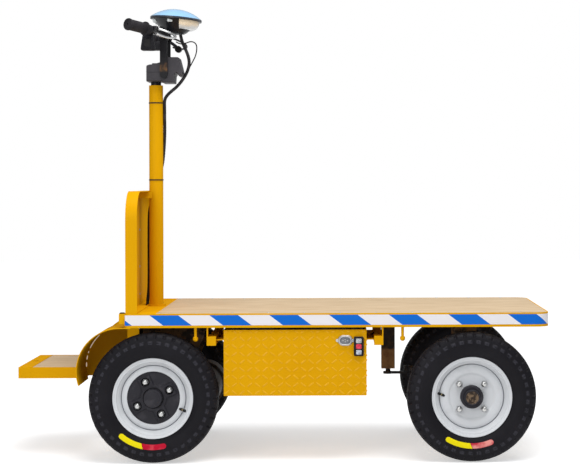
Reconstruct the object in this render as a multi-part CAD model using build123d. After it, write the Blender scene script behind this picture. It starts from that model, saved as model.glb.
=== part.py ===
from build123d import *
import math
import os

# Electric tow tractor: a flat load deck on four wheels, with a standing step at the rear.
# Millimetres. +X is the way it drives, +Y its left side, +Z up. The origin is on the
# floor, under the centre of the box round the whole machine.

# Driving dimensions of the whole machine
front_axle_to_nose = 275
relay_behind_front_axle = 285
box_front_behind_relay = 85
box_length = 503
rear_axle_behind_box = 247
deck_rear_behind_axle = 100
step_reach = 405
deck_width = 750
deck_top_z = 525
deck_depth = 50
track = 690
cut_overrun = 5
fit_gap = 0.3
slip_gap = 0.15
quarter_turn = 90
half_turn = 180

# Wheels
tyre_radius = 228.5
tyre_width = 108
tyre_tread_width = 84
tyre_bulge_share = 0.55
rim_flange_radius = 141.5
rim_seat_radius = 127
rim_inner_width = 76
rim_metal = 4
rim_disc_offset = 14
rim_disc_metal = 6
rim_bore_radius = 36
drum_radius = 94
drum_depth = 14
drum_cap_radius = 32.5
drum_cap_height = 26
hub_radius = 40.5
hub_height = 26
hub_cap_radius = 26
hub_cap_height = 15
hub_back_depth = 34
hub_back_radius = 30
spindle_radius = 14
spindle_tip_gap = 6

# Deck
skirt_metal = 4
deck_flange_width = 36
front_corner_radius = 50
rear_corner_radius = 12
cross_member_width = 40
stake_length = 20.5
stake_width = 30
stake_inset = 5
stake_bottom_z = 489
floor_plate_length = 110
board_thickness = 20

# Column, guard and steering
column_to_deck_rear = 69
column_radius = 26
column_bore_radius = 18
column_top_z = 1349
column_foot_radius = 35
column_foot_thickness = 6
column_below_deck = 30
stem_radius = 15
neck_radius = 19
neck_height = 19
stem_top_z = 1432
steer_arm_z = 433
steer_arm_thickness = 14
steer_arm_length = 85
steer_arm_width = 30
steer_boss_radius = 25
eye_radius = 13
eye_pin_radius = 5
eye_height = 18
drag_rod_radius = 8
pin_head_height = 4
pin_head_radius = 8
guard_depth = 41
guard_metal = 3
guard_inset = 3
guard_side_inset = 3
guard_top_z = 955
guard_corner_radius = 100
stay_height = 24
stay_width = 44

# Handlebar and what it carries
bar_radius = 11
bar_centre_z = 1530
bar_centre_x_from_column = 35
bar_centre_half = 70
bar_bend_radius = 45
grip_inner_x_from_column = 9
grip_inner_y = 205
grip_inner_z = 1537
grip_outer_x_from_column = -62
grip_outer_y = 300
grip_outer_z = 1549
grip_radius = 19
grip_end_thickness = 5
riser_length = 27
riser_metal = 10
riser_foot_z = 1386
riser_clamp_radius = 19
pod_width = 104
pod_rear_from_column = 30
pod_rear_low_z = 1362
pod_front_length = 82
pod_front_low_z = 1357
pod_front_top_z = 1452
pod_slope_length = 20
pod_slope_z = 1392
pod_corner_radius = 8
collar_radius = 17
collar_width = 22
lever_length = 105
lever_width = 14
lever_thickness = 6
lever_reach = 42
switch_length = 48
switch_width = 40
switch_height = 64
switch_top_drop = 8
switch_x_from_column = -7
lamp_dome_radius = 96
lamp_dome_height = 34
lamp_dome_z = 1600
lamp_tilt = 4.6
lamp_dome_steps = 5
lamp_rim_height = 8
lamp_centre_x_from_column = 75
lamp_body_top_radius = 90
lamp_body_bottom_radius = 42
lamp_body_depth = 45
lamp_lens_height = 33
lamp_lens_start = 20
lamp_bracket_width = 40
lamp_bracket_rear = 15
lamp_bracket_ahead = 30
lamp_bracket_height = 11

# Cable loom, from the lamp down the column and through the deck to the gearcase
loom_radius = 7
loom_gap = 1
loom_run_share = 0.45
loom_route = [
    (-381, 0, 1540.9), (-381, 0, 1510), (-352, 0, 1465), (-346, 0, 1420), (-350, 0, 1376),
    (-366, 0, 1335), (-404, 0, 1308), (-434, 0, 1280), (-442, 0, 1240), (-442, 0, 1090),
    (-446, 27, 1045), (-473, 39, 1000), (-484, 38, 925), (-499, 28, 880), (-499, 28, 650),
    (-510, 6, 600), (-511, 0, 550), (-511, 0, 440), (-505, 18, 385), (-462, 50, 362),
    (-440, 58, 340), (-440, 58, 313.8),
]

# Step and fenders
step_half_width = 210
step_top_z = 320
step_depth = 40
step_metal = 4
step_flange = 30
step_board_thickness = 14
step_board_sink = 1
tow_rail_length = 44
tow_bore_radius = 11
fender_axis_from_deck_rear = 18
fender_axis_z = 322
fender_tail_angle = 19
fender_inner_y = 165
fender_metal = 3
fender_lip = 40
web_bottom_z = 285

# Battery box
box_top_gap = 9
box_bottom_z = 234
box_outer_y = -365
box_inner_y = -20
box_metal = 3
battery_end_gap = 6
battery_top_gap = 18
box_rail_side = 28
box_rail_z = 430
box_rail_gap = 27
box_rail_outer_y = -371
box_rail_inner_y = 10
stirrup_metal = 4
stirrup_width = 30
socket_behind_box_front = 75
socket_z = 428
socket_half_length = 30
socket_half_height = 21
socket_depth = 8
breaker_gap = 0
breaker_drop = 20
breaker_length = 35
breaker_height = 68
breaker_depth = 12

# Running gear
rear_axle_radius = 30
rear_axle_flange_radius = 48
rear_axle_flange_thickness = 8
wheel_side_gap = 6
motor_radius = 75
motor_length = 176
motor_ahead_of_axle = 140
gearcase_width = 90
gearcase_radius = 85
gearcase_inner_y = 20
hanger_y = 180
hanger_metal = 8
hanger_front_from_axle = 180
hanger_rear_from_axle = -60
hanger_foot_half = 50
hanger_foot_drop = 30
beam_side = 40
beam_drop = 8.5
kingpin_y = 270
kingpin_radius = 8
kingpin_boss_radius = 18
yoke_gap = 6
yoke_ear = 12
yoke_radius = 20
yoke_web_gap = 4
yoke_web_metal = 12
yoke_web_half = 24
knuckle_arm_length = 70
tie_plane_z = 272
tie_plate_thickness = 8
tie_rod_radius = 5
tie_eye_gap = 1
tie_eye_radius = 11
tie_eye_height = 10
front_hanger_y = 90
front_hanger_metal = 6
front_hanger_half = 40
relay_post_side = 50
relay_post_bottom_z = 289
relay_shaft_radius = 9
relay_bush_height = 30
relay_window_height = 30
hook_wire_radius = 5
hook_drop = 40
hook_ball_radius = 9
hook_ball_share = 0.55
hook_inset = 14
hook_behind_rear_rail = 58
hook_ahead_of_front_rail = 86

# Places worked out from the driving dimensions
wheelbase = relay_behind_front_axle + box_front_behind_relay + box_length + rear_axle_behind_box
deck_length = front_axle_to_nose + wheelbase + deck_rear_behind_axle
overall_length = deck_length + step_reach
nose_x = overall_length / 2
deck_rear_x = nose_x - deck_length
deck_centre_x = (nose_x + deck_rear_x) / 2
deck_bottom_z = deck_top_z - deck_depth
deck_half_width = deck_width / 2
axle_z = tyre_radius
front_axle_x = nose_x - front_axle_to_nose
rear_axle_x = front_axle_x - wheelbase
wheel_y = track / 2
column_x = deck_rear_x + column_to_deck_rear
board_bottom_z = deck_top_z - board_thickness
relay_x = front_axle_x - relay_behind_front_axle
box_front_x = relay_x - box_front_behind_relay
box_rear_x = box_front_x - box_length
socket_x = box_front_x - socket_behind_box_front
seam_x = deck_rear_x + floor_plate_length
step_rear_x = -overall_length / 2
fender_axis_x = deck_rear_x - fender_axis_from_deck_rear
fender_radius = deck_bottom_z - fender_axis_z
step_bottom_z = step_top_z - step_depth
beam_z = axle_z - beam_drop
left = 1
right = -1
sides = ((left, "left"), (right, "right"))


def block(x_span, y_span, z_span):
    """A box between three pairs of faces, each pair given as (low, high)."""
    spans = (x_span, y_span, z_span)
    sizes = [high - low for low, high in spans]
    centre = [(high + low) / 2 for low, high in spans]
    return Pos(*centre) * Box(*sizes)


def post(x, y, radius, z_span):
    """A round upright between two heights."""
    low, high = z_span
    return Pos(x, y, (low + high) / 2) * Cylinder(radius, high - low)


def cross_rod(x, z, radius, y_span):
    """A round bar across the machine, between two Y values."""
    low, high = y_span
    return Pos(x, (low + high) / 2, z) * Rot(X=quarter_turn) * Cylinder(radius, high - low)


def bar(start, end, radius):
    """A straight round bar between two points in space."""
    run = Line(start, end)
    return extrude(Plane(origin=start, z_dir=run % 0) * Circle(radius), run.length)


def side_plate(outline, y_span):
    """A sheet upright along X, cut to an outline of (x, z) points."""
    low, high = y_span
    face = make_face(Polyline(*[(x, z) for x, z in outline], close=True))
    return extrude(Plane(origin=(0, high, 0), x_dir=(1, 0, 0), z_dir=(0, -1, 0)) * face, high - low)


def turned(outline):
    """A body of revolution about Z from closed (radius, height) edges."""
    face = make_face(Plane.XZ * outline)
    return revolve(face, Axis.Z)


def at_wheel(x, side, shape):
    """Turn a shape built about Z, outboard up, to its wheel."""
    return Pos(x, side * wheel_y, axle_z) * Rot(X=-side * quarter_turn) * shape


# Deck

def deck_outline(inset):
    plate = Pos(deck_centre_x, 0) * Rectangle(deck_length, deck_width)
    ends = plate.vertices().group_by(Axis.X)
    plate = fillet(ends[-1], front_corner_radius)
    plate = fillet(plate.vertices().group_by(Axis.X)[0], rear_corner_radius)
    return offset(plate, -inset) if inset else plate


def cross_member_spans():
    """From rear to front, each member lies over what it carries below the deck."""
    half = cross_member_width / 2
    rear_plate, front_plate = [stirrup_plate_span(x, away) for x, away in rail_centres()]
    middle_x = (box_rear_x + box_front_x) / 2
    return [
        (seam_x - half, seam_x + half),
        (rear_plate[0] - half, rear_plate[0] + half),
        (middle_x - half, middle_x + half),
        (front_plate[0], relay_x + relay_post_side / 2),
        (front_axle_x - half, front_axle_x + half),
    ]


def deck_frame():
    skirt = extrude(deck_outline(0), deck_depth) - extrude(deck_outline(skirt_metal), deck_depth)
    flange = extrude(deck_outline(0), skirt_metal)
    flange -= extrude(deck_outline(deck_flange_width), skirt_metal)
    frame = Pos(Z=deck_bottom_z) * (skirt + flange)
    inner_half = deck_half_width - skirt_metal
    for x_span in cross_member_spans():
        frame += block(x_span, (-inner_half, inner_half), (deck_bottom_z, board_bottom_z))
    floor_span = (deck_top_z - skirt_metal, deck_top_z)
    floor_outline = extrude(deck_outline(0), deck_depth)
    floor_outline = Pos(Z=deck_bottom_z) * floor_outline
    floor = floor_outline & block((deck_rear_x, seam_x), (-deck_width, deck_width), floor_span)
    frame += floor
    riser_span = (seam_x - skirt_metal, seam_x)
    frame += block(riser_span, (-inner_half, inner_half), (board_bottom_z, deck_top_z))
    for side, name in sides:
        outer = side * (deck_half_width - stake_inset)
        y_span = sorted((outer, outer - side * stake_width))
        x_span = (deck_rear_x - stake_length, deck_rear_x + skirt_metal)
        frame += block(x_span, y_span, (stake_bottom_z, deck_top_z))
    through = (deck_bottom_z - cut_overrun, deck_top_z + cut_overrun)
    return frame - post(column_x, 0, column_radius + fit_gap, through) - loom_hole(through)


def deck_board():
    board = extrude(deck_outline(skirt_metal + fit_gap), board_thickness)
    board = Pos(Z=board_bottom_z) * board
    front = (seam_x + fit_gap, nose_x)
    return board & block(front, (-deck_width, deck_width), (board_bottom_z, deck_top_z))


def lashing_hooks():
    """Round bar pegs with ball ends, under both edges of the deck."""
    hooks = []
    rear_rail, front_rail = [x for x, away in rail_centres()]
    for x in (rear_rail - hook_behind_rear_rail, front_rail + hook_ahead_of_front_rail):
        for side, name in sides:
            y = side * (deck_half_width - hook_inset)
            head_z = deck_bottom_z - hook_drop
            peg = post(x, y, hook_wire_radius, (head_z, deck_bottom_z))
            head = Cylinder(hook_ball_radius, 2 * hook_ball_radius)
            head = chamfer(head.edges(), hook_ball_share * hook_ball_radius)
            hooks.append(peg + Pos(x, y, head_z) * head)
    return Compound(children=hooks)


# Guard and steering column

def guard_panel():
    """A folded sheet: a plate across the machine with one flange round its edge."""
    rear = deck_rear_x + guard_inset
    height = guard_top_z - deck_top_z
    sheet = Rectangle(deck_width - 2 * guard_side_inset, height)
    top = sheet.vertices().group_by(Axis.Y)[-1]
    sheet = fillet(top, guard_corner_radius)
    face = Plane(origin=(rear, 0, deck_top_z + height / 2), x_dir=(0, 1, 0), z_dir=(1, 0, 0))
    tray = extrude(face * sheet, guard_depth)
    inner = extrude(face * offset(sheet, -guard_metal), guard_depth)
    guard = tray - Pos(X=guard_metal) * inner
    clamp_front = column_x
    half = stay_width / 2
    stay_top = guard_top_z - guard_metal
    stay = block((rear + guard_metal, clamp_front), (-half, half), (stay_top - stay_height, stay_top))
    notch_radius = column_foot_radius + loom_radius + 2 * loom_gap
    notch = post(column_x, 0, notch_radius, (deck_top_z, deck_top_z + guard_metal + cut_overrun))
    column_room = post(column_x, 0, column_radius + fit_gap, (deck_top_z, guard_top_z + cut_overrun))
    return guard - notch + stay - column_room


def column_tube():
    bottom = deck_bottom_z - column_below_deck
    tube = post(column_x, 0, column_radius, (bottom, column_top_z))
    tube += post(column_x, 0, column_foot_radius, (deck_top_z, deck_top_z + column_foot_thickness))
    bore = post(column_x, 0, column_bore_radius, (bottom, column_top_z))
    foot_top = deck_top_z + column_foot_thickness
    return tube - bore - loom_hole((deck_top_z - cut_overrun, foot_top + cut_overrun))


def swing_arm(centre, end, z, thickness, width, boss):
    """A flat arm with round ends, from a boss to an eye."""
    low = z - thickness / 2
    run_x = end[0] - centre[0]
    run_y = end[1] - centre[1]
    length = math.hypot(run_x, run_y)
    turn = math.degrees(math.atan2(run_y, run_x))
    arm = extrude(Pos(length / 2, 0) * Rectangle(length, width), thickness)
    arm += extrude(Circle(boss), thickness)
    arm += extrude(Pos(length, 0) * Circle(width / 2), thickness)
    return Pos(centre[0], centre[1], low) * Rot(Z=turn) * arm


def eye_pin(x, y, low, high):
    """A pin with a head at its lower end."""
    return post(x, y, eye_pin_radius, (low, high)) + post(x, y, pin_head_radius, (low - pin_head_height, low))


def pitman_arm():
    """The arm that swings the long rod, with the rod's pin at its end."""
    arm = swing_arm((column_x, 0), (column_x, steer_arm_length), steer_arm_z,
                    steer_arm_thickness, steer_arm_width, steer_boss_radius)
    low = steer_arm_z - steer_arm_thickness / 2
    top = low - tie_eye_gap
    return arm + eye_pin(column_x, steer_arm_length, top - eye_height - tie_eye_gap, low)


def steering_stem():
    """The shaft in the column, with a neck on the tube's end and the arm fixed at the foot."""
    low = steer_arm_z - steer_arm_thickness / 2 - pin_head_height
    stem = post(column_x, 0, stem_radius, (low, stem_top_z))
    neck_low = column_top_z + fit_gap
    stem += post(column_x, 0, neck_radius, (neck_low, neck_low + neck_height))
    return stem + pitman_arm()


def drag_link():
    """The long rod hangs under both arms, an eye at each end."""
    eye_top = steer_arm_z - steer_arm_thickness / 2 - tie_eye_gap
    eye_z = eye_top - eye_height / 2
    ends = (column_x, relay_x)
    rod = bar((ends[0], steer_arm_length, eye_z), (ends[1], steer_arm_length, eye_z), drag_rod_radius)
    for x in ends:
        rod += post(x, steer_arm_length, eye_radius, (eye_top - eye_height, eye_top))
    for x in ends:
        rod -= post(x, steer_arm_length, eye_pin_radius + fit_gap,
                    (eye_top - eye_height - cut_overrun, eye_top + cut_overrun))
    return rod


# Handlebar

def bar_bend_tangent():
    """How much of the grip's run the bend before it takes up."""
    inner, corner, outer = [Vector(*point) for point in bar_points()]
    turn = (corner - inner).get_angle(outer - corner)
    return bar_bend_radius * math.tan(math.radians(turn / 2))


def grip_runs():
    """For each side: the bar's corner, its end, and the unit step from one to the other."""
    runs = []
    for side, name in sides:
        corner, end = [Vector(x, side * y, z) for x, y, z in bar_points()[1:]]
        runs.append((side, corner, end, (end - corner).normalized()))
    return runs


def bar_points():
    """One half of the bar, from its middle out to the grip's end."""
    centre_x = column_x + bar_centre_x_from_column
    return [
        (centre_x, bar_centre_half, bar_centre_z),
        (column_x + grip_inner_x_from_column, grip_inner_y, grip_inner_z),
        (column_x + grip_outer_x_from_column, grip_outer_y, grip_outer_z),
    ]


def handlebar():
    half = bar_points()
    other = [(x, -y, z) for x, y, z in reversed(half)]
    path = FilletPolyline(*(other + half), radius=bar_bend_radius)
    section = Plane(origin=path @ 0, z_dir=path % 0) * Circle(bar_radius)
    return sweep(section, path=path)


def grips():
    pair = []
    for side, corner, end, along in grip_runs():
        root = corner + along * (bar_bend_tangent() + collar_width)
        tip = end + along * grip_end_thickness
        pair.append(bar(root, tip, grip_radius) - bar(root, end + along * slip_gap, bar_radius + slip_gap))
    return Compound(children=pair)


def risers():
    """Two flat bars down the pod's sides, each with a clamp round the bar and a round foot."""
    pair = []
    x = column_x + bar_centre_x_from_column
    half = riser_length / 2
    inner = pod_width / 2 + slip_gap
    for side, name in sides:
        span = sorted((side * inner, side * (inner + riser_metal)))
        riser = block((x - half, x + half), span, (riser_foot_z, bar_centre_z))
        riser += cross_rod(x, riser_foot_z, half, span)
        riser += cross_rod(x, bar_centre_z, riser_clamp_radius, span)
        pair.append(riser - cross_rod(x, bar_centre_z, bar_radius + slip_gap, span))
    return Compound(children=pair)


def control_pod():
    """A low block round the stem, and a taller one ahead of it whose front leans back."""
    rear = column_x - pod_rear_from_column
    middle = column_x + pod_rear_from_column
    front = middle + pod_front_length
    half = pod_width / 2
    outline = [
        (rear, pod_rear_low_z), (middle, pod_rear_low_z), (middle, pod_front_low_z), (front, pod_front_low_z),
        (front, pod_slope_z), (front - pod_slope_length, pod_front_top_z), (middle, pod_front_top_z),
        (middle, stem_top_z), (rear, stem_top_z),
    ]
    pod = side_plate(outline, (-half, half))
    ends = pod.edges().filter_by(Axis.Y).group_by(Axis.X)
    pod = fillet(ends[0] + ends[-1], pod_corner_radius)
    bore_low = pod_front_low_z
    bore = post(column_x, 0, neck_radius + slip_gap, (bore_low, column_top_z + neck_height + fit_gap))
    bore += post(column_x, 0, stem_radius + slip_gap, (bore_low, stem_top_z))
    return pod - bore


def brake_levers():
    """A clamp round the bar beside each grip, and a blade in front of the grip."""
    pair = []
    for side, corner, end, along in grip_runs():
        root = corner + along * bar_bend_tangent()
        clamp = bar(root, root + along * (collar_width - fit_gap), collar_radius)
        clamp -= bar(root, root + along * collar_width, bar_radius + slip_gap)
        flat = Vector(along.X, along.Y, 0)
        plane = Plane(origin=root, x_dir=flat, z_dir=(0, 0, 1))
        reach = -side * lever_reach
        blade = Pos(lever_length / 2, reach) * Rectangle(lever_length, lever_width)
        middle = -side * (bar_radius + fit_gap + lever_reach) / 2
        neck = Pos(lever_width / 2, middle) * Rectangle(lever_width, lever_reach - bar_radius - fit_gap)
        pair.append(clamp + extrude(plane * (blade + neck), lever_thickness / 2, both=True))
    return Compound(children=pair)


def switch_pods():
    """A switch box under the bar beside each clamp."""
    pair = []
    x = column_x + switch_x_from_column
    top = grip_inner_z - switch_top_drop
    for side, corner, end, along in grip_runs():
        y = corner.Y - side * (switch_width / 2 + bar_bend_tangent())
        x_span = (x - switch_length / 2, x + switch_length / 2)
        y_span = (y - switch_width / 2, y + switch_width / 2)
        box = block(x_span, y_span, (top - switch_height, top))
        inner = (bar_points()[0][0], side * bar_centre_half, bar_centre_z)
        pair.append(box - bar(inner, corner, bar_radius + slip_gap))
    return Compound(children=pair)


def dome_outline():
    """Half the dome's section: a short upright rim, then a ball's cap in equal steps."""
    crown_radius = (lamp_dome_radius ** 2 + lamp_dome_height ** 2) / (2 * lamp_dome_height)
    ball_z = lamp_rim_height + lamp_dome_height - crown_radius
    half_angle = math.asin(lamp_dome_radius / crown_radius)
    points = [(0, 0), (lamp_dome_radius, 0)]
    for step in range(lamp_dome_steps + 1):
        angle = half_angle * (1 - step / lamp_dome_steps)
        points.append((crown_radius * math.sin(angle), ball_z + crown_radius * math.cos(angle)))
    return points


def at_lamp(shape):
    """Set a shape built under the dome's rim in place, leaning forward with the dome."""
    x = column_x + lamp_centre_x_from_column
    return Pos(x, 0, lamp_dome_z - lamp_rim_height) * Rot(Y=lamp_tilt) * shape


def lamp_cone():
    """The tapered body under the dome."""
    cone = Cone(lamp_body_bottom_radius, lamp_body_top_radius, lamp_body_depth)
    return Pos(Z=-lamp_body_depth / 2) * cone


def lens_room(gap):
    """The front of the body that the lens takes, opened or closed by a gap."""
    reach = lamp_dome_radius
    return block((lamp_lens_start - gap, reach), (-reach, reach), (-lamp_lens_height - gap, gap))


def headlight_shell():
    """A round dome over a tapered body, on a bracket from the bar."""
    body = lamp_cone() - lens_room(0)
    shell = at_lamp(turned(Polyline(*dome_outline(), close=True)) + body)
    bracket_x = column_x + bar_centre_x_from_column
    lamp_x = column_x + lamp_centre_x_from_column
    half = lamp_bracket_width / 2
    low = bar_centre_z + bar_radius + slip_gap
    return shell + block((bracket_x - lamp_bracket_rear, lamp_x + lamp_bracket_ahead), (-half, half),
                         (low, low + lamp_bracket_height))


def headlight_lens():
    """The clear front of the body, under the dome."""
    return at_lamp(lamp_cone() & lens_room(-slip_gap))


# Cable loom

def route_radii(points):
    """An arc at each corner, as large as the shorter of its two runs allows."""
    radii = []
    for before, corner, after in zip(points, points[1:], points[2:]):
        run_in = Vector(*corner) - Vector(*before)
        run_out = Vector(*after) - Vector(*corner)
        half_bend = math.radians(run_in.get_angle(run_out) / 2)
        radii.append(loom_run_share * min(run_in.length, run_out.length) / math.tan(half_bend))
    return radii


def loom_hole(z_span):
    """Where the loom goes down through the deck, just behind the column."""
    x = column_x - column_radius - loom_radius - 2 * loom_gap
    return post(x, 0, loom_radius + loom_gap, z_span)


def cable_loom():
    path = FilletPolyline(*loom_route, radius=route_radii(loom_route))
    section = Plane(origin=path @ 0, z_dir=path % 0) * Circle(loom_radius)
    return sweep(section, path=path)


# Fenders and step

def fender_point(radius, angle):
    turn = math.radians(angle)
    return (fender_axis_x + radius * math.cos(turn), fender_axis_z + radius * math.sin(turn))


def curved_sheet(y_span):
    """A sheet bent from the deck's underside round and down behind the wheel."""
    low, high = y_span
    inner = fender_radius - fender_metal
    start = quarter_turn
    end = half_turn + fender_tail_angle
    middle = (start + end) / 2
    outer_arc = ThreePointArc(*[fender_point(fender_radius, a) for a in (start, middle, end)])
    inner_arc = ThreePointArc(*[fender_point(inner, a) for a in (end, middle, start)])
    tail = Line(fender_point(fender_radius, end), fender_point(inner, end))
    head = Line(fender_point(inner, start), fender_point(fender_radius, start))
    face = make_face(outer_arc + tail + inner_arc + head)
    plane = Plane(origin=(0, high, 0), x_dir=(1, 0, 0), z_dir=(0, -1, 0))
    sheet = extrude(plane * face, high - low)
    lip_x = (fender_axis_x, fender_axis_x + fender_lip)
    lip = block(lip_x, y_span, (deck_bottom_z - fender_metal, deck_bottom_z))
    return sheet + lip


def fender(side):
    y_span = tuple(sorted((side * fender_inner_y, side * deck_half_width)))
    web_span = tuple(sorted((side * fender_inner_y, side * (fender_inner_y + fender_metal))))
    disc = cross_rod(fender_axis_x, fender_axis_z, fender_radius - fender_metal / 2, web_span)
    web = disc & block((fender_axis_x - fender_radius, fender_axis_x), web_span, (web_bottom_z, deck_bottom_z))
    return curved_sheet(y_span) + web


def step_front_x():
    """Where the bent sheet crosses the underside of the step."""
    return fender_axis_x - math.sqrt(fender_radius ** 2 - (fender_axis_z - step_bottom_z) ** 2)


def fender_round(grow, y_span):
    """The solid drum that the bent sheets wrap, made larger or smaller."""
    return cross_rod(fender_axis_x, fender_axis_z, fender_radius + grow, y_span)


def step_frame():
    """An angle frame open in the middle, its front corners fixed to the fenders."""
    front = step_front_x()
    rear = step_rear_x + tow_rail_length + fit_gap
    y_span = (-step_half_width, step_half_width)
    frame = block((rear, front), y_span, (step_bottom_z, step_top_z))
    inner_x = (rear + step_metal, front - step_metal)
    inner_y = (-step_half_width + step_metal, step_half_width - step_metal)
    frame -= block(inner_x, inner_y, (step_bottom_z + step_metal, step_top_z))
    hole_x = (rear + step_flange, front - step_flange)
    hole_y = (-step_half_width + step_flange, step_half_width - step_flange)
    frame -= block(hole_x, hole_y, (step_bottom_z, step_top_z))
    rest_z = step_top_z - step_board_sink - step_board_thickness
    middle = (rear + front) / 2
    rest = (middle - step_flange / 2, middle + step_flange / 2)
    frame += block(rest, inner_y, (step_bottom_z + step_metal, rest_z))
    half = fender_inner_y - fit_gap
    for side, name in sides:
        frame -= fender_round(fit_gap, sorted((side * half, side * step_half_width)))
    return frame


def step_board():
    front = fender_axis_x - fender_radius - fit_gap
    rear = step_rear_x + tow_rail_length + step_metal + 2 * fit_gap
    half = step_half_width - step_metal - fit_gap
    top = step_top_z - step_board_sink
    return block((rear, front), (-half, half), (top - step_board_thickness, top))


def tow_rail():
    """The rear rail of the step, bored upright for a tow pin."""
    rail = block((step_rear_x, step_rear_x + tow_rail_length), (-step_half_width, step_half_width),
                 (step_bottom_z, step_top_z))
    x = step_rear_x + tow_rail_length / 2
    return rail - post(x, 0, tow_bore_radius, (step_bottom_z - cut_overrun, step_top_z + cut_overrun))


# Battery box

def box_top_z():
    return deck_bottom_z - box_top_gap


def battery_box():
    """An open-topped steel bin, hung by its shelves from the two cross rails."""
    front = box_front_x
    spans = (box_rear_x, front), (box_outer_y, box_inner_y), (box_bottom_z, box_top_z())
    bin_solid = block(*spans)
    bin_solid -= block((box_rear_x + box_metal, front - box_metal),
                       (box_outer_y + box_metal, box_inner_y - box_metal),
                       (box_bottom_z + box_metal, box_top_z()))
    shelf_z = (box_rail_z, box_rail_z + box_metal)
    shelf = box_rail_gap - fit_gap
    for x_span in ((box_rear_x - shelf, box_rear_x), (front, front + shelf)):
        bin_solid += block(x_span, (box_outer_y + box_metal, box_inner_y), shelf_z)
    socket_bore = slot_prism(0, box_metal, socket_half_length - box_metal, socket_half_height - box_metal)
    return bin_solid - socket_bore


def battery_pack():
    inset = box_metal + battery_end_gap
    return block((box_rear_x + inset, box_front_x - inset), (box_outer_y + inset, box_inner_y - inset),
                 (box_bottom_z + box_metal, box_top_z() - battery_top_gap))


def breaker_switch():
    """The main switch on the box's outer face."""
    half = breaker_length / 2
    tall = breaker_height / 2
    x = socket_x + socket_half_length + breaker_gap + half
    return block((x - half, x + half), (box_outer_y - breaker_depth, box_outer_y),
                 (socket_z - tall - breaker_drop, socket_z + tall - breaker_drop))


def rail_centres():
    half = box_rail_side / 2
    return (box_rear_x - box_rail_gap - half, -1), (box_front_x + box_rail_gap + half, 1)


def stirrup_plate_span(x, away):
    """The X faces of a stirrup's upright plate, on the rail's side away from the box."""
    half = box_rail_side / 2
    return sorted((x + away * half, x + away * (half + stirrup_metal)))


def box_rails():
    """Two square tubes across the machine, each held to the deck by two stirrups."""
    rails = []
    half = box_rail_side / 2
    z_span = (box_rail_z - half, box_rail_z + half)
    for x, away in rail_centres():
        rail = block((x - half, x + half), (box_rail_outer_y, box_rail_inner_y), z_span)
        plate = stirrup_plate_span(x, away)
        hold = sorted((x - away * half, x + away * (half + stirrup_metal)))
        for low in (box_rail_outer_y, box_rail_inner_y - stirrup_width):
            y_span = (low, low + stirrup_width)
            rail += block(plate, y_span, (z_span[0] - stirrup_metal, deck_bottom_z))
            rail += block(hold, y_span, (z_span[0] - stirrup_metal, z_span[0]))
        rails.append(rail)
    return Compound(children=rails)


def slot_prism(out, into, half_length, half_height):
    """An oval prism through the box's outer face at the charging socket."""
    radius = half_height
    shape = SlotCenterToCenter(2 * (half_length - radius), 2 * radius)
    plane = Plane(origin=(socket_x, box_outer_y - out, socket_z), x_dir=(1, 0, 0), z_dir=(0, 1, 0))
    return extrude(plane * shape, out + into)


# Running gear

def tyre():
    """A solid ring: bead between the rim flanges, walls that lean out and back, flat tread."""
    half = rim_inner_width / 2 - fit_gap
    seat = rim_seat_radius + fit_gap
    wall_foot = rim_flange_radius + fit_gap
    widest = wall_foot + tyre_bulge_share * (tyre_radius - wall_foot)
    wall = [(seat, half), (wall_foot, half), (widest, tyre_width / 2), (tyre_radius, tyre_tread_width / 2)]
    return turned(Polyline(*wall, *[(radius, -height) for radius, height in reversed(wall)], close=True))


def rim():
    """Two flanges on a barrel, and the disc that bolts to the hub."""
    half = rim_inner_width / 2
    edge = half + rim_metal
    barrel = rim_seat_radius - rim_metal
    disc_out = rim_disc_offset
    disc_in = rim_disc_offset - rim_disc_metal
    points = [
        (rim_flange_radius, edge), (rim_flange_radius, half), (rim_seat_radius, half),
        (rim_seat_radius, -half), (rim_flange_radius, -half), (rim_flange_radius, -edge),
        (barrel, -edge), (barrel, disc_in), (rim_bore_radius, disc_in),
        (rim_bore_radius, disc_out), (barrel, disc_out), (barrel, edge),
    ]
    return turned(Polyline(*points, close=True))


def hub_bore():
    """The blind hole that runs on the spindle, from the inboard end."""
    low = rim_disc_offset - rim_disc_metal - hub_back_depth
    return Pos(Z=low) * Cylinder(spindle_radius + fit_gap, spindle_reach() + spindle_tip_gap - low,
                                 align=(Align.CENTER, Align.CENTER, Align.MIN))


def spindle_reach():
    """How far outboard of the wheel's middle the spindle ends."""
    return rim_disc_offset


def hub_back():
    """The part of a hub that stands through the disc and inboard of it."""
    low = rim_disc_offset - rim_disc_metal - hub_back_depth
    up = (Align.CENTER, Align.CENTER, Align.MIN)
    return Pos(Z=low) * Cylinder(hub_back_radius, rim_disc_offset - low, align=up)


def rear_hub():
    up = (Align.CENTER, Align.CENTER, Align.MIN)
    hub = hub_back() + Pos(Z=rim_disc_offset) * Cylinder(drum_radius, drum_depth, align=up)
    hub += Pos(Z=rim_disc_offset + drum_depth) * Cylinder(drum_cap_radius, drum_cap_height, align=up)
    return hub - hub_bore()


def front_hub():
    up = (Align.CENTER, Align.CENTER, Align.MIN)
    hub = hub_back() + Pos(Z=rim_disc_offset) * Cylinder(hub_radius, hub_height, align=up)
    hub += Pos(Z=rim_disc_offset + hub_height) * Cylinder(hub_cap_radius, hub_cap_height, align=up)
    return hub - hub_bore()


def rear_axle():
    """A tube between the hangers with a flanged stub for each wheel."""
    hub_inboard = wheel_y + rim_disc_offset - rim_disc_metal - hub_back_depth
    tube_end = hub_inboard - wheel_side_gap
    axle = cross_rod(rear_axle_x, axle_z, rear_axle_radius, (-tube_end, tube_end))
    spindle_end = wheel_y + spindle_reach()
    axle += cross_rod(rear_axle_x, axle_z, spindle_radius, (-spindle_end, spindle_end))
    for side, name in sides:
        flange = sorted((side * (tube_end - rear_axle_flange_thickness), side * tube_end))
        axle += cross_rod(rear_axle_x, axle_z, rear_axle_flange_radius, flange)
    return axle


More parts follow.
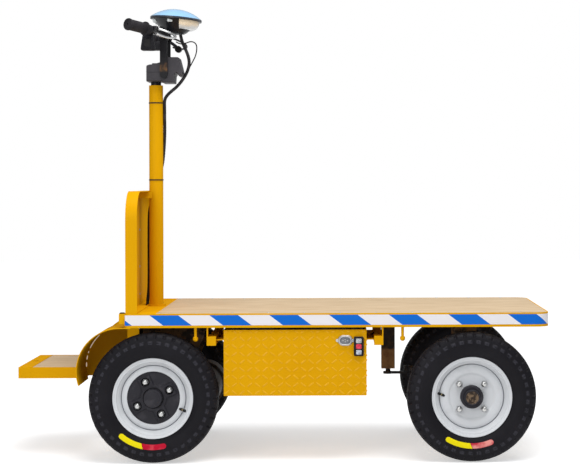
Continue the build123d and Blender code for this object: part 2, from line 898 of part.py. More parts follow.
def drive_motor():
    """The motor lies across ahead of the axle, and its gearcase takes both."""
    motor_x = rear_axle_x + motor_ahead_of_axle
    high = gearcase_inner_y
    low = high - motor_length
    case_span = (high, high + gearcase_width)
    drive = cross_rod(motor_x, axle_z, motor_radius, (low, high))
    drive += cross_rod(motor_x, axle_z, gearcase_radius, case_span)
    drive += cross_rod(rear_axle_x, axle_z, gearcase_radius, case_span)
    drive += block((rear_axle_x, motor_x), case_span, (axle_z - gearcase_radius, axle_z + gearcase_radius))
    return drive - cross_rod(rear_axle_x, axle_z, rear_axle_radius + slip_gap, case_span)


def rear_hangers():
    """Two plates from the deck down to the rear axle, wider at the deck."""
    pair = []
    low = axle_z - rear_axle_radius - hanger_foot_drop
    outline = [
        (rear_axle_x + hanger_rear_from_axle, deck_bottom_z), (rear_axle_x - hanger_foot_half, low),
        (rear_axle_x + hanger_foot_half, low), (rear_axle_x + hanger_front_from_axle, deck_bottom_z),
    ]
    for side, name in sides:
        y_span = (side * hanger_y - hanger_metal / 2, side * hanger_y + hanger_metal / 2)
        plate = side_plate(outline, y_span)
        pair.append(plate - cross_rod(rear_axle_x, axle_z, rear_axle_radius + slip_gap, y_span))
    return pair


def front_axle():
    """A square beam with an upright boss at each end for the kingpin."""
    half = beam_side / 2
    z_span = (beam_z - half, beam_z + half)
    beam = block((front_axle_x - half, front_axle_x + half), (-kingpin_y, kingpin_y), z_span)
    for side, name in sides:
        reach = (side * kingpin_y, side * (kingpin_y - kingpin_boss_radius - yoke_gap))
        beam -= block((front_axle_x - beam_side, front_axle_x + beam_side), sorted(reach), z_span)
        neck = (side * kingpin_y, side * (kingpin_y - kingpin_boss_radius - beam_side))
        narrow = kingpin_boss_radius
        beam += block((front_axle_x - narrow, front_axle_x + narrow), sorted(neck), z_span)
        beam += post(front_axle_x, side * kingpin_y, kingpin_boss_radius, z_span)
    for side, name in sides:
        beam -= post(front_axle_x, side * kingpin_y, kingpin_radius + fit_gap,
                     (z_span[0] - cut_overrun, z_span[1] + cut_overrun))
    return beam


def front_hangers():
    """Two plates from the deck down to the front beam."""
    pair = []
    low = beam_z + beam_side / 2
    for side, name in sides:
        half = front_hanger_metal / 2
        y_span = (side * front_hanger_y - half, side * front_hanger_y + half)
        x_span = (front_axle_x - front_hanger_half, front_axle_x + front_hanger_half)
        pair.append(block(x_span, y_span, (low, deck_bottom_z)))
    return pair


def tie_rod_z(side):
    """Both rods lie over their plates, the right one's eyes above the left one's."""
    lowest = tie_plane_z + tie_plate_thickness / 2 + tie_eye_gap + tie_eye_height / 2
    return lowest if side == left else lowest + tie_eye_height + tie_eye_gap


def knuckle(side):
    """A yoke round the beam's boss, with the spindle outboard and the arm forward."""
    y = side * kingpin_y
    half = beam_side / 2
    low = beam_z - half - yoke_gap
    high = beam_z + half + yoke_gap
    ears = ((low - yoke_ear, low), (high, high + yoke_ear))
    web_inner = kingpin_y + kingpin_boss_radius + yoke_web_gap
    web_y = sorted((side * web_inner, side * (web_inner + yoke_web_metal)))
    body = post(front_axle_x, y, kingpin_radius, (ears[0][0], ears[1][1]))
    for ear in ears:
        body += post(front_axle_x, y, yoke_radius, ear)
        reach = sorted((y, side * (web_inner + yoke_web_metal)))
        body += block((front_axle_x - yoke_radius, front_axle_x + yoke_radius), reach, ear)
    web_x = (front_axle_x - yoke_web_half, front_axle_x + yoke_web_half)
    body += block(web_x, web_y, (ears[0][0], ears[1][1]))
    spindle = sorted((side * web_inner, side * (wheel_y + spindle_reach())))
    body += cross_rod(front_axle_x, axle_z, spindle_radius, spindle)
    arm_low = tie_plane_z - tie_plate_thickness / 2
    body += post(front_axle_x, y, yoke_radius, (ears[1][1], arm_low))
    eye_x = front_axle_x + knuckle_arm_length
    body += swing_arm((front_axle_x, y), (eye_x, y), tie_plane_z, tie_plate_thickness,
                      2 * tie_eye_radius, yoke_radius)
    pin_top = tie_rod_z(side) + tie_eye_height / 2 + tie_eye_gap
    return body + post(eye_x, y, eye_pin_radius, (tie_plane_z, pin_top))


def relay_shaft():
    """The upright shaft, its upper arm to the long rod and its lower lever to the tie rods."""
    top = steer_arm_z + steer_arm_thickness / 2
    low = tie_plane_z - tie_plate_thickness / 2
    shaft = post(relay_x, 0, relay_shaft_radius, (low, top + relay_bush_height))
    shaft += swing_arm((relay_x, 0), (relay_x, steer_arm_length), steer_arm_z, steer_arm_thickness,
                       steer_arm_width - pin_head_radius, relay_shaft_radius + pin_head_height)
    eye_low = top - steer_arm_thickness - 2 * tie_eye_gap - eye_height
    shaft += eye_pin(relay_x, steer_arm_length, eye_low, top)
    eye_x = relay_x + knuckle_arm_length
    shaft += swing_arm((relay_x, 0), (eye_x, 0), tie_plane_z, tie_plate_thickness,
                       2 * tie_eye_radius, 2 * relay_shaft_radius)
    pin_top = tie_rod_z(right) + tie_eye_height / 2 + tie_eye_gap
    return shaft + post(eye_x, 0, eye_pin_radius, (tie_plane_z, pin_top))


def relay_housing():
    """A square post under the deck, bored for the shaft, with a window for the upper arm."""
    half = relay_post_side / 2
    x_span = (relay_x - half, relay_x + half)
    housing = block(x_span, (-half, half), (relay_post_bottom_z, deck_bottom_z))
    shaft_top = steer_arm_z + steer_arm_thickness / 2 + relay_bush_height
    housing -= post(relay_x, 0, relay_shaft_radius + fit_gap,
                    (relay_post_bottom_z - cut_overrun, shaft_top + tie_eye_gap))
    window = (steer_arm_z - relay_window_height / 2, steer_arm_z + relay_window_height / 2)
    rear_edge = relay_shaft_radius + pin_head_height + tie_eye_gap
    x_cut = (relay_x - half - cut_overrun, relay_x + half + cut_overrun)
    return housing - block(x_cut, (-rear_edge, half + cut_overrun), window)


def tie_rod(side):
    """A straight rod from the relay lever to one knuckle, an eye at each end."""
    z = tie_rod_z(side)
    start = (relay_x + knuckle_arm_length, 0, z)
    end = (front_axle_x + knuckle_arm_length, side * kingpin_y, z)
    rod = bar(start, end, tie_rod_radius)
    z_span = (z - tie_eye_height / 2, z + tie_eye_height / 2)
    for x, y, height in (start, end):
        rod += post(x, y, tie_eye_radius, z_span)
    for x, y, height in (start, end):
        rod -= post(x, y, eye_pin_radius + fit_gap, (z_span[0] - cut_overrun, z_span[1] + cut_overrun))
    return rod


def charge_socket():
    """An oval flange round the charging plug, proud of the box."""
    flange = slot_prism(socket_depth, 0, socket_half_length, socket_half_height)
    plug_half_length = socket_half_length - box_metal - slip_gap
    plug_half_height = socket_half_height - box_metal - slip_gap
    return flange + slot_prism(0, box_metal, plug_half_length, plug_half_height)


nodes = {
    "cable_loom": cable_loom(),
    "deck_frame": deck_frame(),
    "deck_board": deck_board(),
    "lashing_hooks": lashing_hooks(),
    "guard_panel": guard_panel(),
    "column_tube": column_tube(),
    "fenders": Compound(children=[fender(side) for side, name in sides]),
    "step_frame": step_frame(),
    "step_board": step_board(),
    "tow_rail": tow_rail(),
    "battery_box": battery_box(),
    "battery_pack": battery_pack(),
    "box_rails": box_rails(),
    "charge_socket": charge_socket(),
    "breaker_switch": breaker_switch(),
    "rear_axle": rear_axle(),
    "drive_motor": drive_motor(),
    "axle_hangers": Compound(children=rear_hangers() + front_hangers()),
    "front_axle": front_axle(),
    "relay_housing": relay_housing(),
    "relay_shaft": relay_shaft(),
    "drag_link": drag_link(),
    "steering_stem": steering_stem(),
    "handlebar": handlebar(),
    "grips": grips(),
    "risers": risers(),
    "control_pod": control_pod(),
    "brake_levers": brake_levers(),
    "switch_pods": switch_pods(),
    "headlight_shell": headlight_shell(),
    "headlight_lens": headlight_lens(),
}

for side, name in sides:
    nodes["knuckle_" + name] = knuckle(side)
    nodes["tie_rod_" + name] = tie_rod(side)
    for end, x, hub in (("front", front_axle_x, front_hub), ("rear", rear_axle_x, rear_hub)):
        place = end + "_" + name
        nodes["tyre_" + place] = at_wheel(x, side, tyre())
        nodes["rim_" + place] = at_wheel(x, side, rim())
        nodes["hub_" + place] = at_wheel(x, side, hub())

print("loom radii", [round(radius) for radius in route_radii(loom_route)])

os.makedirs("parts", exist_ok=True)
for node, shape in nodes.items():
    export_step(shape, "parts/" + node + ".step")
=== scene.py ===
import math
import bpy
import bmesh
import numpy as np
from mathutils import Euler, Matrix, Vector


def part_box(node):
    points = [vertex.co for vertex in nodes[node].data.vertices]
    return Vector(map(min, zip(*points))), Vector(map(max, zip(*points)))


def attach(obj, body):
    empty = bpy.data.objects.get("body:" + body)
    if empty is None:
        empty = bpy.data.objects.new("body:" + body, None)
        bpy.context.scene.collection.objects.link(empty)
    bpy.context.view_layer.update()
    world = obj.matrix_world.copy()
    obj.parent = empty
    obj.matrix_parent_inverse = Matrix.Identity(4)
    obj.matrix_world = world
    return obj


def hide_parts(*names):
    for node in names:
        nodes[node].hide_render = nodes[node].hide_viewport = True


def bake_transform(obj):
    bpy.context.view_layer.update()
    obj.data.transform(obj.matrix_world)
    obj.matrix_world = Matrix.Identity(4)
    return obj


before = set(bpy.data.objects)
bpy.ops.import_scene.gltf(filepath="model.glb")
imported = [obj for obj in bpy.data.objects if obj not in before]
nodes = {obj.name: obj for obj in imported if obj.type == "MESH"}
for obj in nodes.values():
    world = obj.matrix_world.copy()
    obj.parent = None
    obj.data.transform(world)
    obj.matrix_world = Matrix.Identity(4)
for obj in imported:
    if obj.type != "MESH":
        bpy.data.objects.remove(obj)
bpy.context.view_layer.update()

# Camera: the photograph is taken from the machine's right side with a long lens, a little
# above the deck and almost square to it. The crop leaves the lens axis off the middle.
eye = Vector((0.2278, -5.975, 0.9812))
lens_pixels = 1593
photo_width = 580
photo_height = 471
horizon_pixel = 183.3
vanishing_pixel = 363.7
lean = math.radians(-0.15)
yaw = math.radians(-0.70)
camera_data = bpy.data.cameras.new("photo_camera")
camera_data.sensor_width = 36
camera_data.lens = camera_data.sensor_width * lens_pixels / photo_width
camera_data.shift_x = (photo_width / 2 - vanishing_pixel) / photo_width
camera_data.shift_y = (horizon_pixel - photo_height / 2) / photo_width
camera = bpy.data.objects.new("photo_camera", camera_data)
camera.location = eye
upright = Euler((math.radians(90), 0, 0)).to_matrix()
camera.rotation_euler = (Matrix.Rotation(yaw, 3, "Z") @ upright @ Matrix.Rotation(lean, 3, "Z")).to_euler()
bpy.context.scene.collection.objects.link(camera)
bpy.context.scene.camera = camera
bpy.context.scene.view_settings.view_transform = "Standard"


# Studio: a white sweep underfoot and all round, as in a catalogue picture, lit by one broad
# soft lamp overhead, a weaker one from the camera's side and a white surround.
def maths(operation):
    """A method of a reading that adds a maths node to it, with what else the operation takes."""
    def method(self, *others):
        node = self.tree.nodes.new("ShaderNodeMath")
        node.operation = operation
        for slot_number, value in enumerate((self,) + others):
            plug(self.tree, node.inputs[slot_number], value)
        return Reading(self.tree, node.outputs[0])
    return method


class Reading:
    """A number or colour in a material's node tree; sums on readings add the nodes that do them."""

    def __init__(self, tree, socket):
        self.tree = tree
        self.socket = socket

    __add__, __sub__, __mul__, __truediv__ = map(maths, ("ADD", "SUBTRACT", "MULTIPLY", "DIVIDE"))
    fraction, size = map(maths, ("FRACT", "ABSOLUTE"))

    def __rsub__(self, other):
        return self * -1 + other

    def clear(self, low, high):
        """0 below low, 1 above high, smooth between."""
        node = self.tree.nodes.new("ShaderNodeMapRange")
        node.interpolation_type = "SMOOTHSTEP"
        for name, value in (("Value", self), ("From Min", low), ("From Max", high)):
            plug(self.tree, node.inputs[name], value)
        return Reading(self.tree, node.outputs[0])


def plug(tree, socket, value):
    """Link a reading into a socket, or set the socket to a plain value."""
    if isinstance(value, Reading):
        tree.links.new(value.socket, socket)
    else:
        socket.default_value = value


class Finish:
    """A material being mixed: its shader, and the one method that adds any other node."""

    def __init__(self, name, colour, roughness, metallic=0.0, coat=0.0, coat_roughness=0.1, shine=0.16):
        self.material = bpy.data.materials.new(name)
        self.material.use_nodes = True
        self.tree = self.material.node_tree
        self.shader = self.tree.nodes["Principled BSDF"]
        self.set("Base Color", (*colour, 1))
        self.set("Roughness", roughness)
        self.set("Metallic", metallic)
        self.set("Coat Weight", coat)
        self.set("Coat Roughness", coat_roughness)
        self.set("Specular IOR Level", shine)

    def set(self, socket, value):
        plug(self.tree, self.shader.inputs[socket], value)

    def node(self, kind, output=0, **inputs):
        node = self.tree.nodes.new("ShaderNode" + kind)
        for name, value in inputs.items():
            plug(self.tree, node.inputs[name], value)
        return Reading(self.tree, node.outputs[output])

    def attribute(self, name):
        """A value that the mesh carries at each of its points."""
        reading = self.node("Attribute", output="Fac")
        reading.socket.node.attribute_name = name
        return reading

    def place(self):
        """The point on the piece, in metres."""
        return self.node("TexCoord", output="Object")

    def axes(self):
        """The point's three coordinates, each a reading."""
        split = self.tree.nodes.new("ShaderNodeSeparateXYZ")
        plug(self.tree, split.inputs[0], self.place())
        return [Reading(self.tree, split.outputs[number]) for number in range(3)]

    def stretch(self, scale):
        """The point scaled about the origin."""
        return self.node("Mapping", Vector=self.place(), Scale=scale)

    def noise(self, scale, detail, at=None):
        """Soft random values from 0 to 1 with features about 1 / scale metres across."""
        return self.node("TexNoise", Vector=at or self.place(), Scale=scale, Detail=detail)

    def mix(self, amount, first, second):
        """Colour first where amount is 0 and second where it is 1."""
        node = self.tree.nodes.new("ShaderNodeMix")
        node.data_type = "RGBA"
        plug(self.tree, node.inputs[0], amount)
        for number, value in ((6, first), (7, second)):
            plug(self.tree, node.inputs[number], value if isinstance(value, Reading) else (*value, 1))
        return Reading(self.tree, node.outputs[2])

    def tinted(self, scale, detail, first, second):
        """Colour the surface by noise, anywhere between two colours."""
        self.set("Base Color", self.mix(self.noise(scale, detail), first, second))

    def mottled(self, scale, detail, low, high, first, second):
        """Colour the surface in soft patches: first where the noise is under low, second over high."""
        self.set("Base Color", self.mix(self.noise(scale, detail).clear(low, high), first, second))

    def rough(self, scale, detail, spread, least):
        """Let the roughness wander from its least value up by the spread."""
        self.set("Roughness", self.noise(scale, detail) * spread + least)

    def bump(self, height, depth, strength):
        """Raise the surface by height times depth metres."""
        self.set("Normal", self.node("Bump", Height=height, Distance=depth, Strength=strength))

    def grain(self, scale, detail, depth, strength):
        """Raise the surface by noise."""
        self.bump(self.noise(scale, detail), depth, strength)

    def glow(self, colour, strength):
        """Let the surface shine by itself."""
        self.set("Emission Color", colour)
        self.set("Emission Strength", strength)

    def on(self, *names):
        """Put the finish on these CAD nodes."""
        for name in names:
            slots = nodes[name].data.materials
            slots.clear()
            slots.append(self.material)


white = (1.0, 1.0, 1.0, 1)
floor_half, floor_drop = 14.0, 0.0005
glow_near, glow_far = 2.0, 40.0


def sweep_floor():
    """A flat square just under the tyres, which glows more the further off it is. The glow goes
    by the square of the distance."""
    corners = np.array([(-1, -1), (1, -1), (1, 1), (-1, 1)]) * floor_half
    mesh = bpy.data.meshes.new("studio_floor")
    mesh.from_pydata([(x, y, -floor_drop) for x, y in corners], [], [(0, 1, 2, 3)])
    floor = bpy.data.objects.new("studio_floor", mesh)
    bpy.context.scene.collection.objects.link(floor)
    paint = Finish("studio_white", (0.80, 0.80, 0.80), 0.7)
    seen = paint.node("LightPath", output="Is Camera Ray") + paint.node("LightPath", output="Is Glossy Ray")
    east, north = paint.axes()[:2]
    far = (east * east + north * north).clear(glow_near, glow_far)
    glow = paint.mix(far, (0.50, 0.50, 0.50), (0.68, 0.68, 0.68))
    paint.glow(paint.mix(seen, (0, 0, 0), glow), 1)
    mesh.materials.append(paint.material)


sweep_floor()
world = bpy.data.worlds.new("studio")
world.use_nodes = True
bpy.context.scene.world = world
sky = world.node_tree.nodes
surround, surround_light = sky["Background"], sky.new("ShaderNodeBackground")
for background, colour, strength in ((surround_light, (0.95, 0.97, 1.0, 1), 0.45), (surround, white, 1.0)):
    background.inputs["Color"].default_value = colour
    background.inputs["Strength"].default_value = strength
seen = sky.new("ShaderNodeMixShader")
rays = sky.new("ShaderNodeLightPath")
sources = rays.outputs["Is Camera Ray"], surround_light.outputs[0], surround.outputs[0]
for number, source in enumerate(sources):
    world.node_tree.links.new(source, seen.inputs[number])
world.node_tree.links.new(seen.outputs[0], sky["World Output"].inputs["Surface"])


def soft_lamp(name, place, aim, width, watts):
    """A square lamp that faces the point it is aimed at."""
    data = bpy.data.lights.new(name, "AREA")
    data.shape = "RECTANGLE"
    data.size = data.size_y = width
    data.energy = watts
    lamp = bpy.data.objects.new(name, data)
    lamp.location = place
    lamp.rotation_euler = (Vector(aim) - Vector(place)).to_track_quat("-Z", "Y").to_euler()
    bpy.context.scene.collection.objects.link(lamp)


machine_middle = (0.0, 0.0, 0.6)
soft_lamp("overhead_softbox", (0.6, -1.2, 4.2), machine_middle, 3.2, 170)
soft_lamp("camera_softbox", (-2.2, -4.6, 2.2), machine_middle, 2.4, 66)


# Steelwork: the deck's frame, guard, column, fenders, step, rails and battery box are sheet and
# tube, welded and powder painted yellow. The paint has a fine orange peel and an uneven gloss.
yellow = Finish("yellow_powder_paint", (0.67, 0.335, 0.006), 0.36, coat=0.04, coat_roughness=0.3, shine=0.0)
yellow_cloud = yellow.noise(2.4, 4).clear(0.38, 0.70)
yellow.set("Base Color", yellow.mix(yellow_cloud * 0.6, (0.68, 0.342, 0.003), (0.62, 0.290, 0.002)))
yellow.rough(8, 4, 0.24, 0.24)
yellow.grain(380, 2, 0.0002, 0.35)
yellow.on("deck_frame", "lashing_hooks", "guard_panel", "column_tube", "step_frame", "tow_rail", "fenders",
          "battery_box", "box_rails")


# Boards: birch plywood cut to the deck and to the step, laid in the steel rim and screwed down.
# Its face grain runs along the machine, in long pale streaks under worn varnish.
plywood = Finish("birch_plywood", (0.62, 0.46, 0.27), 0.6, shine=0.4)
plywood_figure = plywood.noise(5.0, 6, at=plywood.stretch((1.3, 13, 13)))
plywood_fibre = plywood.noise(9.0, 4, at=plywood.stretch((3, 90, 90)))
plywood_streak = plywood_figure.clear(0.40, 0.68)
plywood_tone = plywood.mix(plywood_streak * 0.75, (0.62, 0.465, 0.290), (0.43, 0.295, 0.155))
plywood_pores = plywood_fibre.clear(0.5, 0.72) * 0.35
plywood.set("Base Color", plywood.mix(plywood_pores, plywood_tone, (0.40, 0.25, 0.11)))
plywood.set("Roughness", plywood_fibre * 0.3 + 0.42)
plywood.bump(plywood_fibre, 0.0004, 0.5)
plywood.on("deck_board", "step_board")


# Board screws: zinc pan heads along both edges of the deck, every 127 mm. Each is a low dome,
# turned, and pressed a little into the wood.
def skin(grid, ring_rows=False, ring_columns=False):
    """A grid's points, and the corner numbers of its cells. It may close on itself either way."""
    rows, columns = grid.shape[:2]
    row, column = np.meshgrid(np.arange(rows - (not ring_rows)), np.arange(columns - (not ring_columns)),
                              indexing="ij")
    below, beside = (row + 1) % rows * columns, (column + 1) % columns
    corners = (row * columns + column, below + column, below + beside, row * columns + beside)
    return grid.reshape(-1, 3), np.stack(corners, -1).reshape(-1, 4)


def full_turn(steps):
    """Turns once round, as a column."""
    return np.linspace(0, 2 * np.pi, steps, endpoint=False)[:, None]


def about_axis(turn, radius, height):
    """The points (radius cos turn, radius sin turn, height)."""
    return np.stack((np.cos(turn) * radius, np.sin(turn) * radius, 0 * turn + height), -1)


def turned(profile, steps, closed=False):
    """A profile of (radius, height) points, which may be a closed one, carried round the Z axis."""
    radius, height = np.asarray(profile, float).T
    return skin(about_axis(full_turn(steps), radius, height), True, closed)


def mm(*points):
    """Points given in millimetres."""
    return np.array(points, float) / 1000


def moved(part, turn=((1, 0, 0), (0, 1, 0), (0, 0, 1)), to=(0, 0, 0)):
    """A part with each point p taken to turn times p, plus to."""
    points, faces = part
    return points @ np.asarray(turn, float).T + np.asarray(to, float), faces


def repeated(part, places):
    """The same part at each of many places, as one part."""
    points, faces = part
    places = np.asarray(places, float)
    starts = np.arange(len(places)) * len(points)
    return (places[:, None] + points).reshape(-1, 3), (starts[:, None, None] + faces).reshape(-1, 4)


def made(name, parts, finish, body, slot, crease=38, **values):
    """One piece of the machine from (points, faces) parts, with every point in its place. A piece
    with no body is attached to none."""
    starts = np.cumsum([0] + [len(points) for points, faces in parts[:-1]])
    points = np.concatenate([points for points, faces in parts])
    faces = np.concatenate([faces + start for (_, faces), start in zip(parts, starts)])
    mesh = bpy.data.meshes.new(name)
    mesh.from_pydata(points.tolist(), [], faces.tolist())
    for key, numbers in values.items():
        mesh.attributes.new(key, "FLOAT", "POINT").data.foreach_set("value", numbers)
    joined = bmesh.new()
    joined.from_mesh(mesh)
    bmesh.ops.remove_doubles(joined, verts=joined.verts, dist=1e-6)
    bmesh.ops.recalc_face_normals(joined, faces=joined.faces)
    joined.to_mesh(mesh)
    joined.free()
    mesh.shade_smooth()
    mesh.set_sharp_from_angle(angle=math.radians(crease))
    mesh.materials.append(finish.material)
    piece = bpy.data.objects.new(name, mesh)
    bpy.context.scene.collection.objects.link(piece)
    if body:
        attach(piece, body)
    return piece


zinc = Finish("zinc_plate", (0.50, 0.50, 0.49), 0.34, metallic=1.0)
zinc.rough(160, 3, 0.3, 0.2)
deck_low, deck_high = (np.array(corner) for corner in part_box("deck_frame"))
screw_pitch, screw_inset = 0.127, 0.022
screw_y = deck_high[1] - screw_inset
screw_profile = mm((0, 1.6), (2.2, 1.5), (3.8, 1), (4.6, 0.1), (4.6, -1), (0, -1))
screw_head = turned(screw_profile, 14)
screw_places = [(x, side * screw_y, deck_high[2])
                for x in np.arange(-0.423, 0.92, screw_pitch) for side in (-1, 1)]
made("board_screws", [repeated(screw_head, screw_places)], zinc, "chassis", "zinc_steel")


# Painted light: pale glowing strips, laid in lengths between the stitch welds, in the corner where
# each fender's curved skin meets its web, where light shows through the gaps of the seam.
fender_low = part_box("fenders")[0]
fender_centre = np.array((-0.559, 0.322))
slit_inset, web_face = 0.0048, 0.1684
seam_reach = fender_centre[0] - fender_low[0] - slit_inset
slit_section = mm((-1.6, 0), (-1, 1), (0.4, 1.3), (1.6, 1), (2.2, 0), (0, -0.4))
slit_runs = ((133, 156), (160.5, 163), (166.5, 172), (176, 182))


def slit_light_strip(first, last, steps=14):
    """A thin strip of painted light on the web's face: an arc about the fender's centre between two
    turns in degrees, as a ring of six (out, off the web) points at each turn, narrower at both ends."""
    turn = np.radians(np.linspace(first, last, steps))[:, None]
    out, off_web = slit_section.T
    reach = seam_reach + out * np.clip(np.sin(np.linspace(0, np.pi, steps)) * 4, 0.15, 1)[:, None]
    return skin(np.stack((fender_centre[0] + reach * np.cos(turn), web_face + off_web + 0 * turn,
                          fender_centre[1] + reach * np.sin(turn)), -1), ring_columns=True)


# Painted light: the strips are pale and glow, as the light seen through the seam's gaps.
slit_light_paint = Finish("painted_slit_light", (0.86, 0.74, 0.56), 0.6)
slit_light_paint.glow((0.86, 0.74, 0.56, 1), 0.45)
slit_light_paint.mottled(90, 3, 0.4, 0.7, (0.88, 0.77, 0.60), (0.76, 0.60, 0.40))
mirrors = [((1, 0, 0), (0, side, 0), (0, 0, 1)) for side in (-1, 1)]
slit_light_strips = [moved(slit_light_strip(*run), mirror) for mirror in mirrors for run in slit_runs]
made("fender_slit_light", slit_light_strips, slit_light_paint, "chassis", "yellow_paint", 60)


# Hazard tape: blue and white reflective stripes on the skirt of the deck, down both sides and
# round the front. It is thin vinyl stuck on the paint, and each stripe leans 53 degrees.
tape_low, tape_high, tape_proud = 0.4835, 0.5195, 0.0004
tape_rear, corner_radius = -0.5435, 0.050
stripe_pitch, stripe_start, stripe_slant = 0.2100, 0.4094, 48 / 36


def tape_line(count):
    """Distance along the skirt, and the point there and the way out of it: straight, a quarter
    circle, across the front, a quarter circle, straight."""
    straight = deck_high[0] - corner_radius - tape_rear
    front = 2 * (deck_high[1] - corner_radius)
    bend = np.pi / 2 * corner_radius
    along = np.concatenate((np.linspace(0, straight, 2), straight + np.linspace(0, bend, count)[1:],
                            [straight + bend + front],
                            straight + bend + front + np.linspace(0, bend, count)[1:],
                            [2 * straight + 2 * bend + front]))
    turn = (np.clip((along - straight) / corner_radius, 0, np.pi / 2)
            + np.clip((along - straight - bend - front) / corner_radius, 0, np.pi / 2))
    out = np.stack((np.sin(turn), -np.cos(turn), 0 * turn), -1)
    centre_x = np.clip(tape_rear + along, None, tape_rear + straight)
    centre_x = np.minimum(centre_x, tape_rear + 2 * straight + 2 * bend + front - along)
    centre_y = np.clip(along - straight - bend, 0, front) - front / 2
    return along, np.stack((centre_x, centre_y, 0 * along), -1), out


def tape_strip():
    """The strip's section, a thin upright box, carried along the skirt."""
    along, centre, out = tape_line(13)
    section = ((1, tape_low), (1, tape_high), (-1, tape_high), (-1, tape_low))
    rings = [centre + out * (corner_radius + side * tape_proud) + np.array((0, 0, z)) for side, z in section]
    return skin(np.stack(rings, 1), ring_columns=True), np.repeat(along, len(section))


tape = Finish("hazard_tape", (0.72, 0.70, 0.73), 0.33)
tape_run = tape.attribute("along")
tape_rise = (tape.axes()[2] - tape_low) * stripe_slant
tape_phase = ((tape_run + tape_rear + tape_rise + stripe_start) / stripe_pitch).fraction()
tape_blue = (1 - tape_phase.clear(0.477, 0.483)) * tape_phase.clear(-0.001, 0.003)
tape_cell = tape.node("TexVoronoi", Vector=tape.place(), Scale=260.0)
tape.set("Base Color", tape.mix(tape_blue, (0.74, 0.72, 0.745), (0.001, 0.125, 0.56)))
tape.rough(60, 3, 0.2, 0.22)
tape.bump(tape_cell, 0.0002, 0.25)
strip, strip_along = tape_strip()
made("hazard_tape", [strip], tape, "chassis", "yellow_paint", along=strip_along)


# Tyres: four pneumatic 4.00-10 tyres, black rubber with a ribbed zigzag tread, a row of raised
# bars on each shoulder and a plain wall. Each is carried round its rim and turns with it.
wheel_boxes = {place: np.array(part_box("tyre_" + place))
               for place in ("front_left", "front_right", "rear_left", "rear_right")}
tread_bars = 41
shoulder_radius, groove_depth = 0.2125, 0.0042
tyre_section = mm(
    (141.8, 37.6), (142.4, 41), (147.5, 44), (156, 49), (166, 52.4), (176, 53.8), (184, 53.6),
    (190, 52.8), (195, 51.9), (200, 50.8), (205, 49.4), (210, 47.8), (214, 46.2), (218, 44),
    (221.5, 41.2), (224, 38), (225.6, 34), (226.5, 29), (227.2, 24), (227.7, 19), (228.1, 14),
    (228.4, 9), (228.5, 4.5), (228.5, 0),
)


def wheel_frame(place):
    """The turn and the centre that take a shape built about Z, outboard up, to its wheel."""
    low, high = wheel_boxes[place]
    side = 1 if place.endswith("left") else -1
    return ((1, 0, 0), (0, 0, side), (0, 1, 0)), (low + high) / 2


def tyre_skin(steps):
    """The section, with a fine grid put over it, turned about the axle. A point at turn a and
    height h is pulled in towards the axle by the grooves: five that wander round the tread as
    sines of the turn, and one across each shoulder between every two bars."""
    radius, height = tyre_section.T
    measure = np.concatenate(([0], np.cumsum(np.hypot(np.diff(radius), np.diff(height)))))
    finer = np.linspace(0, measure[-1], 46)
    radius, height = np.interp(finer, measure, radius), np.interp(finer, measure, height)
    radius = np.concatenate((radius, radius[-2::-1]))
    height = np.concatenate((height, -height[-2::-1]))
    turn = full_turn(steps)
    wander = 0.0022 * np.sin(tread_bars * turn)
    lanes = np.abs(np.abs(height) - 0.0125 - wander * np.sign(height))
    middle = np.abs(height - 0.0020 * np.sin(tread_bars * turn + np.pi / 2))
    edge_lane = np.abs(np.abs(height) - 0.0275 - wander * np.sign(height))
    groove = sum(np.clip(1.6 - lane / 0.0016, 0, 1) for lane in (lanes, middle, edge_lane))
    inward = radius > shoulder_radius
    notch = np.clip(np.cos(tread_bars * turn) * 2.2 - 1.0, 0, 1) * (np.abs(height) > 0.030) * inward
    bar = np.clip(0.75 - np.cos(tread_bars * turn) * 2.0, 0, 1) * (np.abs(radius - 0.1965) < 0.0055)
    depth = groove_depth * np.clip(groove * (radius > 0.222) + notch, 0, 1)
    near = radius - depth * inward
    outward = height + np.sign(height) * (0.0022 * bar - 0.6 * depth * (radius < 0.224))
    return skin(about_axis(turn, near, outward), True, True), (bar + 0 * near).ravel()


def on_wheel(kind, place, part, finish, slot, crease=38, **values):
    """A piece of one wheel, from a part built about Z, outboard up."""
    part = moved(part, *wheel_frame(place))
    return made(kind + place, [part], finish, "wheel_" + place, slot, crease, **values)


rubber = Finish("tyre_rubber", (0.012, 0.011, 0.014), 0.6, shine=0.12)
rubber_grain = rubber.noise(140, 3)
rubber_dust = rubber.noise(7, 5).clear(0.45, 0.75)
rubber_tone = rubber.mix(rubber_dust * 0.5, (0.0062, 0.0056, 0.0078), (0.0135, 0.0125, 0.0160))
# Painted highlight and wear: the tops of the shoulder bars are a paler, bluish black.
bar_sheen_and_wear = rubber.attribute("worn") * rubber_grain.clear(0.30, 0.55)
rubber.set("Base Color", rubber.mix(bar_sheen_and_wear * 0.8, rubber_tone, (0.034, 0.033, 0.042)))
rubber.set("Roughness", rubber_grain * 0.25 + 0.42)
rubber.bump(rubber_grain, 0.0003, 0.4)
tyre_part, tyre_bar_tops = tyre_skin(410)
for place in wheel_boxes:
    tyre = on_wheel("tyre_tread_", place, tyre_part, rubber, "tyre", 30, worn=tyre_bar_tops)
    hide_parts("tyre_" + place)


# Wall stripes: one yellow and one red paint stripe on the outer wall of each tyre, end to end
# along the same circle, with round outer ends and a slanted join.
stripe_inner, stripe_outer, paint_height = 0.1595, 0.1780, 0.0006


def wall_height(radius):
    """How far outboard the tyre's wall lies at a radius, read from the tyre's section."""
    return np.interp(radius, tyre_section[:14, 0], tyre_section[:14, 1])


